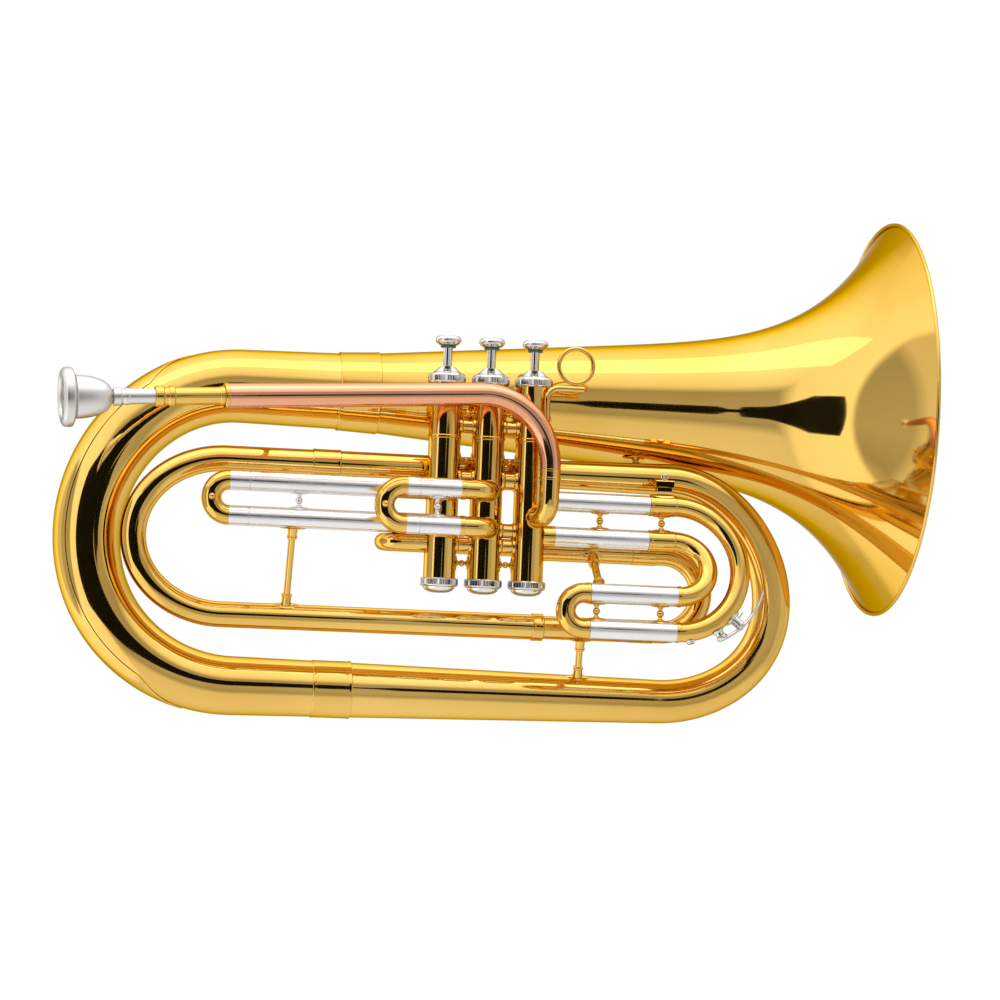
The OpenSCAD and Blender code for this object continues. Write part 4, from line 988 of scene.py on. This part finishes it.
def make_spring(n):
    """Coil between the bottom cap and the piston, sized to the CAD spring's box."""
    low, high = box(f"valve_spring_{n}")
    wire, turns, steps, sides = 0.45, 7.5, 32, 12
    foot = Vector(((low.x + high.x) / 2, (low.y + high.y) / 2, low.z + wire))
    coil = (high.x - low.x) / 2 - wire
    rise = high.z - low.z - 2 * wire
    count = round(turns * steps)

    def outward(i):
        return Vector((cos(tau * i / steps), sin(tau * i / steps), 0))

    def centre(i):
        climb = max(0.0, min(1.0, (i / steps - 0.75) / (turns - 1.5)))
        return foot + outward(i) * coil + Z * (rise * climb * 0.95 + rise * 0.05 * i / count)

    rings = []
    for i in range(count + 1):
        way = (centre(i + 0.5) - centre(i - 0.5)).normalized()
        out = outward(i)
        up = way.cross(out).normalized()
        rings.append([centre(i) + (out * c + up * d) * wire for c, d in circle(sides)])
    shape = Shape().loft([[centre(0)]] + rings + [[centre(count)]])
    spring = piece(f"valve_{n}_spring", shape, "spring_steel", None, [f"valve_spring_{n}"])
    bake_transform(spring)


make_bell()
make_large_tubing()
make_tuning_slide()
make_leadpipe()
make_mouthpiece()
for number in VALVES:
    make_valve(number)
make_knuckles()
make_left_slides()
make_third_slide()
make_braces()
make_finger_fittings()
make_lyre_holder()
make_water_key()
for number in VALVES:
    make_spring(number)

# CAD nodes that stay: they get their finish, and a modifier that joins their doubled points.
WELD_DISTANCE = 0.005 * MM
KEPT = {"water_key_spring": "spring_steel"}
for number in VALVES:
    KEPT[f"piston_{number}"] = "piston_nickel"
for node, slot in KEPT.items():
    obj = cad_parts[node]
    obj.data.materials.clear()
    obj.data.materials.append(FINISHES[slot])
    obj.modifiers.new("weld", "WELD").merge_threshold = WELD_DISTANCE


# ---------- Camera, floor and light; the sheets' corners are in metres ----------

CAMERA_DISTANCE = 2100
CAMERA_TARGET = Vector((9.6, 0, -15))
CAMERA_YAW = radians(9)
CAMERA_DROP = radians(3)
CAMERA_ROLL = radians(2.25)
VIEW_WIDTH = 679

forward = Vector((sin(CAMERA_YAW) * cos(CAMERA_DROP), cos(CAMERA_YAW) * cos(CAMERA_DROP),
                  sin(CAMERA_DROP)))
level_right = Vector((cos(CAMERA_YAW), -sin(CAMERA_YAW), 0))
level_up = level_right.cross(forward)
right = level_right * cos(CAMERA_ROLL) + level_up * sin(CAMERA_ROLL)
up = level_up * cos(CAMERA_ROLL) - level_right * sin(CAMERA_ROLL)

camera_data = bpy.data.cameras.new("camera")
camera_data.sensor_width = 36
camera_data.lens = camera_data.sensor_width * CAMERA_DISTANCE / VIEW_WIDTH
camera_data.clip_end = 50
camera = add_object("camera", camera_data)
turn = Matrix((right, up, -forward)).transposed().to_4x4()
camera.matrix_world = Matrix.Translation((CAMERA_TARGET - forward * CAMERA_DISTANCE) * MM) @ turn
bpy.context.scene.camera = camera


def flat_material(name, colour, glow=0.0):
    material, _, shader = new_material(name)
    shader.inputs["Base Color"].default_value = (*colour, 1)
    shader.inputs["Roughness"].default_value = 0.9
    shader.inputs["Specular IOR Level"].default_value = 0.1
    shader.inputs["Emission Color"].default_value = (1, 1, 1, 1)
    shader.inputs["Emission Strength"].default_value = glow
    return material


def sheet_of(name, corners, material):
    """A flat staging sheet, not part of the object."""
    mesh = bpy.data.meshes.new(name)
    mesh.from_pydata(corners, [], [list(range(len(corners)))])
    mesh.materials.append(material)
    obj = add_object(name, mesh)
    return obj


FLOOR_Z = cad_low.z - 0.16
FLOOR_FRONT = -0.8
sheet_of("floor", [(-3, FLOOR_FRONT, FLOOR_Z), (3, FLOOR_FRONT, FLOOR_Z), (3, 4, FLOOR_Z), (-3, 4, FLOOR_Z)],
         flat_material("pale_floor", (0.9, 0.9, 0.9), glow=0.3)).visible_glossy = False
# Dark flag in front of the set: the black streaks in the metal are its reflection.
FLAG_Y = -0.8
FLAG = ((-1.0, -0.40), (-0.45, -0.36), (-0.1, -0.13), (0.02, -0.11), (0.03, -0.02), (0.06, -0.02),
        (0.08, -0.09), (0.34, -0.09), (0.34, 0.10), (0.08, 0.10), (0.06, 0.05), (0.03, 0.05), (0.02, 0.11),
        (-0.1, 0.14), (-0.45, 0.38), (-1.0, 0.42))
black = flat_material("black_cloth", (0.004, 0.004, 0.004))
flag = sheet_of("dark_flag", [(x, FLAG_Y, z) for x, z in FLAG], black)
flag.visible_camera = False
flag.visible_diffuse = False
flag.visible_shadow = False

softbox = bpy.data.lights.new("top_softbox", "AREA")
softbox.shape = "RECTANGLE"
softbox.size, softbox.size_y, softbox.energy = 2.4, 1.0, 5
top_light = add_object("top_softbox", softbox)
top_light.location = (-0.1, -0.4, 1.5)
top_light.rotation_euler = (radians(-15), 0, 0)
top_light.visible_camera = False

# Light tent: dim in front, bright above, behind and on the left. The camera sees it white.
world = bpy.data.worlds.new("studio")
bpy.context.scene.world = world
world.use_nodes = True
tree = world.node_tree
tree.nodes.clear()
link = tree.links.new
place = tree.nodes.new("ShaderNodeTexCoord")
split = tree.nodes.new("ShaderNodeSeparateXYZ")
link(place.outputs["Generated"], split.inputs["Vector"])


def tent_ramp(axis, stops):
    """Brightness of the tent along one axis of the direction, from -1 to 1."""
    spread = tree.nodes.new("ShaderNodeMapRange")
    spread.inputs["From Min"].default_value = -1
    link(split.outputs[axis], spread.inputs["Value"])
    node = tree.nodes.new("ShaderNodeValToRGB")
    ramp = node.color_ramp
    while len(ramp.elements) < len(stops):
        ramp.elements.new(0.5)
    for element, (position, level) in zip(ramp.elements, stops):
        element.position = (position + 1) / 2
        element.color = (level, level, level, 1)
    link(spread.outputs["Result"], node.inputs["Fac"])
    return node.outputs["Color"]


def lighter(a, b):
    node = tree.nodes.new("ShaderNodeMix")
    node.data_type = "RGBA"
    node.blend_type = "LIGHTEN"
    node.inputs[0].default_value = 1
    link(a, node.inputs[6])
    link(b, node.inputs[7])
    return node.outputs[2]


front = tent_ramp("Z", ((-1, 0.95), (-0.55, 0.88), (-0.36, 0.45), (-0.1, 0.55), (0.1, 0.52), (0.42, 0.45),
                        (0.56, 1.1), (0.8, 1.45), (1, 1.5)))
behind = tent_ramp("Y", ((-1, 0), (-0.1, 0), (0.15, 0.85), (0.6, 0.8), (1, 0.75)))
left = tent_ramp("X", ((-1, 0.45), (-0.9, 0.45), (-0.87, 1.4), (-0.5, 1.2), (-0.3, 0.0), (0.6, 0),
                       (0.75, 0.7), (1, 0.7)))
lit = tree.nodes.new("ShaderNodeBackground")
link(lighter(lighter(front, behind), left), lit.inputs["Color"])
seen = tree.nodes.new("ShaderNodeBackground")
seen.inputs["Color"].default_value = (1, 1, 1, 1)
rays = tree.nodes.new("ShaderNodeLightPath")
pick = tree.nodes.new("ShaderNodeMixShader")
out = tree.nodes.new("ShaderNodeOutputWorld")
link(rays.outputs["Is Camera Ray"], pick.inputs["Fac"])
link(lit.outputs["Background"], pick.inputs[1])
link(seen.outputs["Background"], pick.inputs[2])
link(pick.outputs["Shader"], out.inputs["Surface"])

bpy.context.scene.view_settings.view_transform = "Standard"
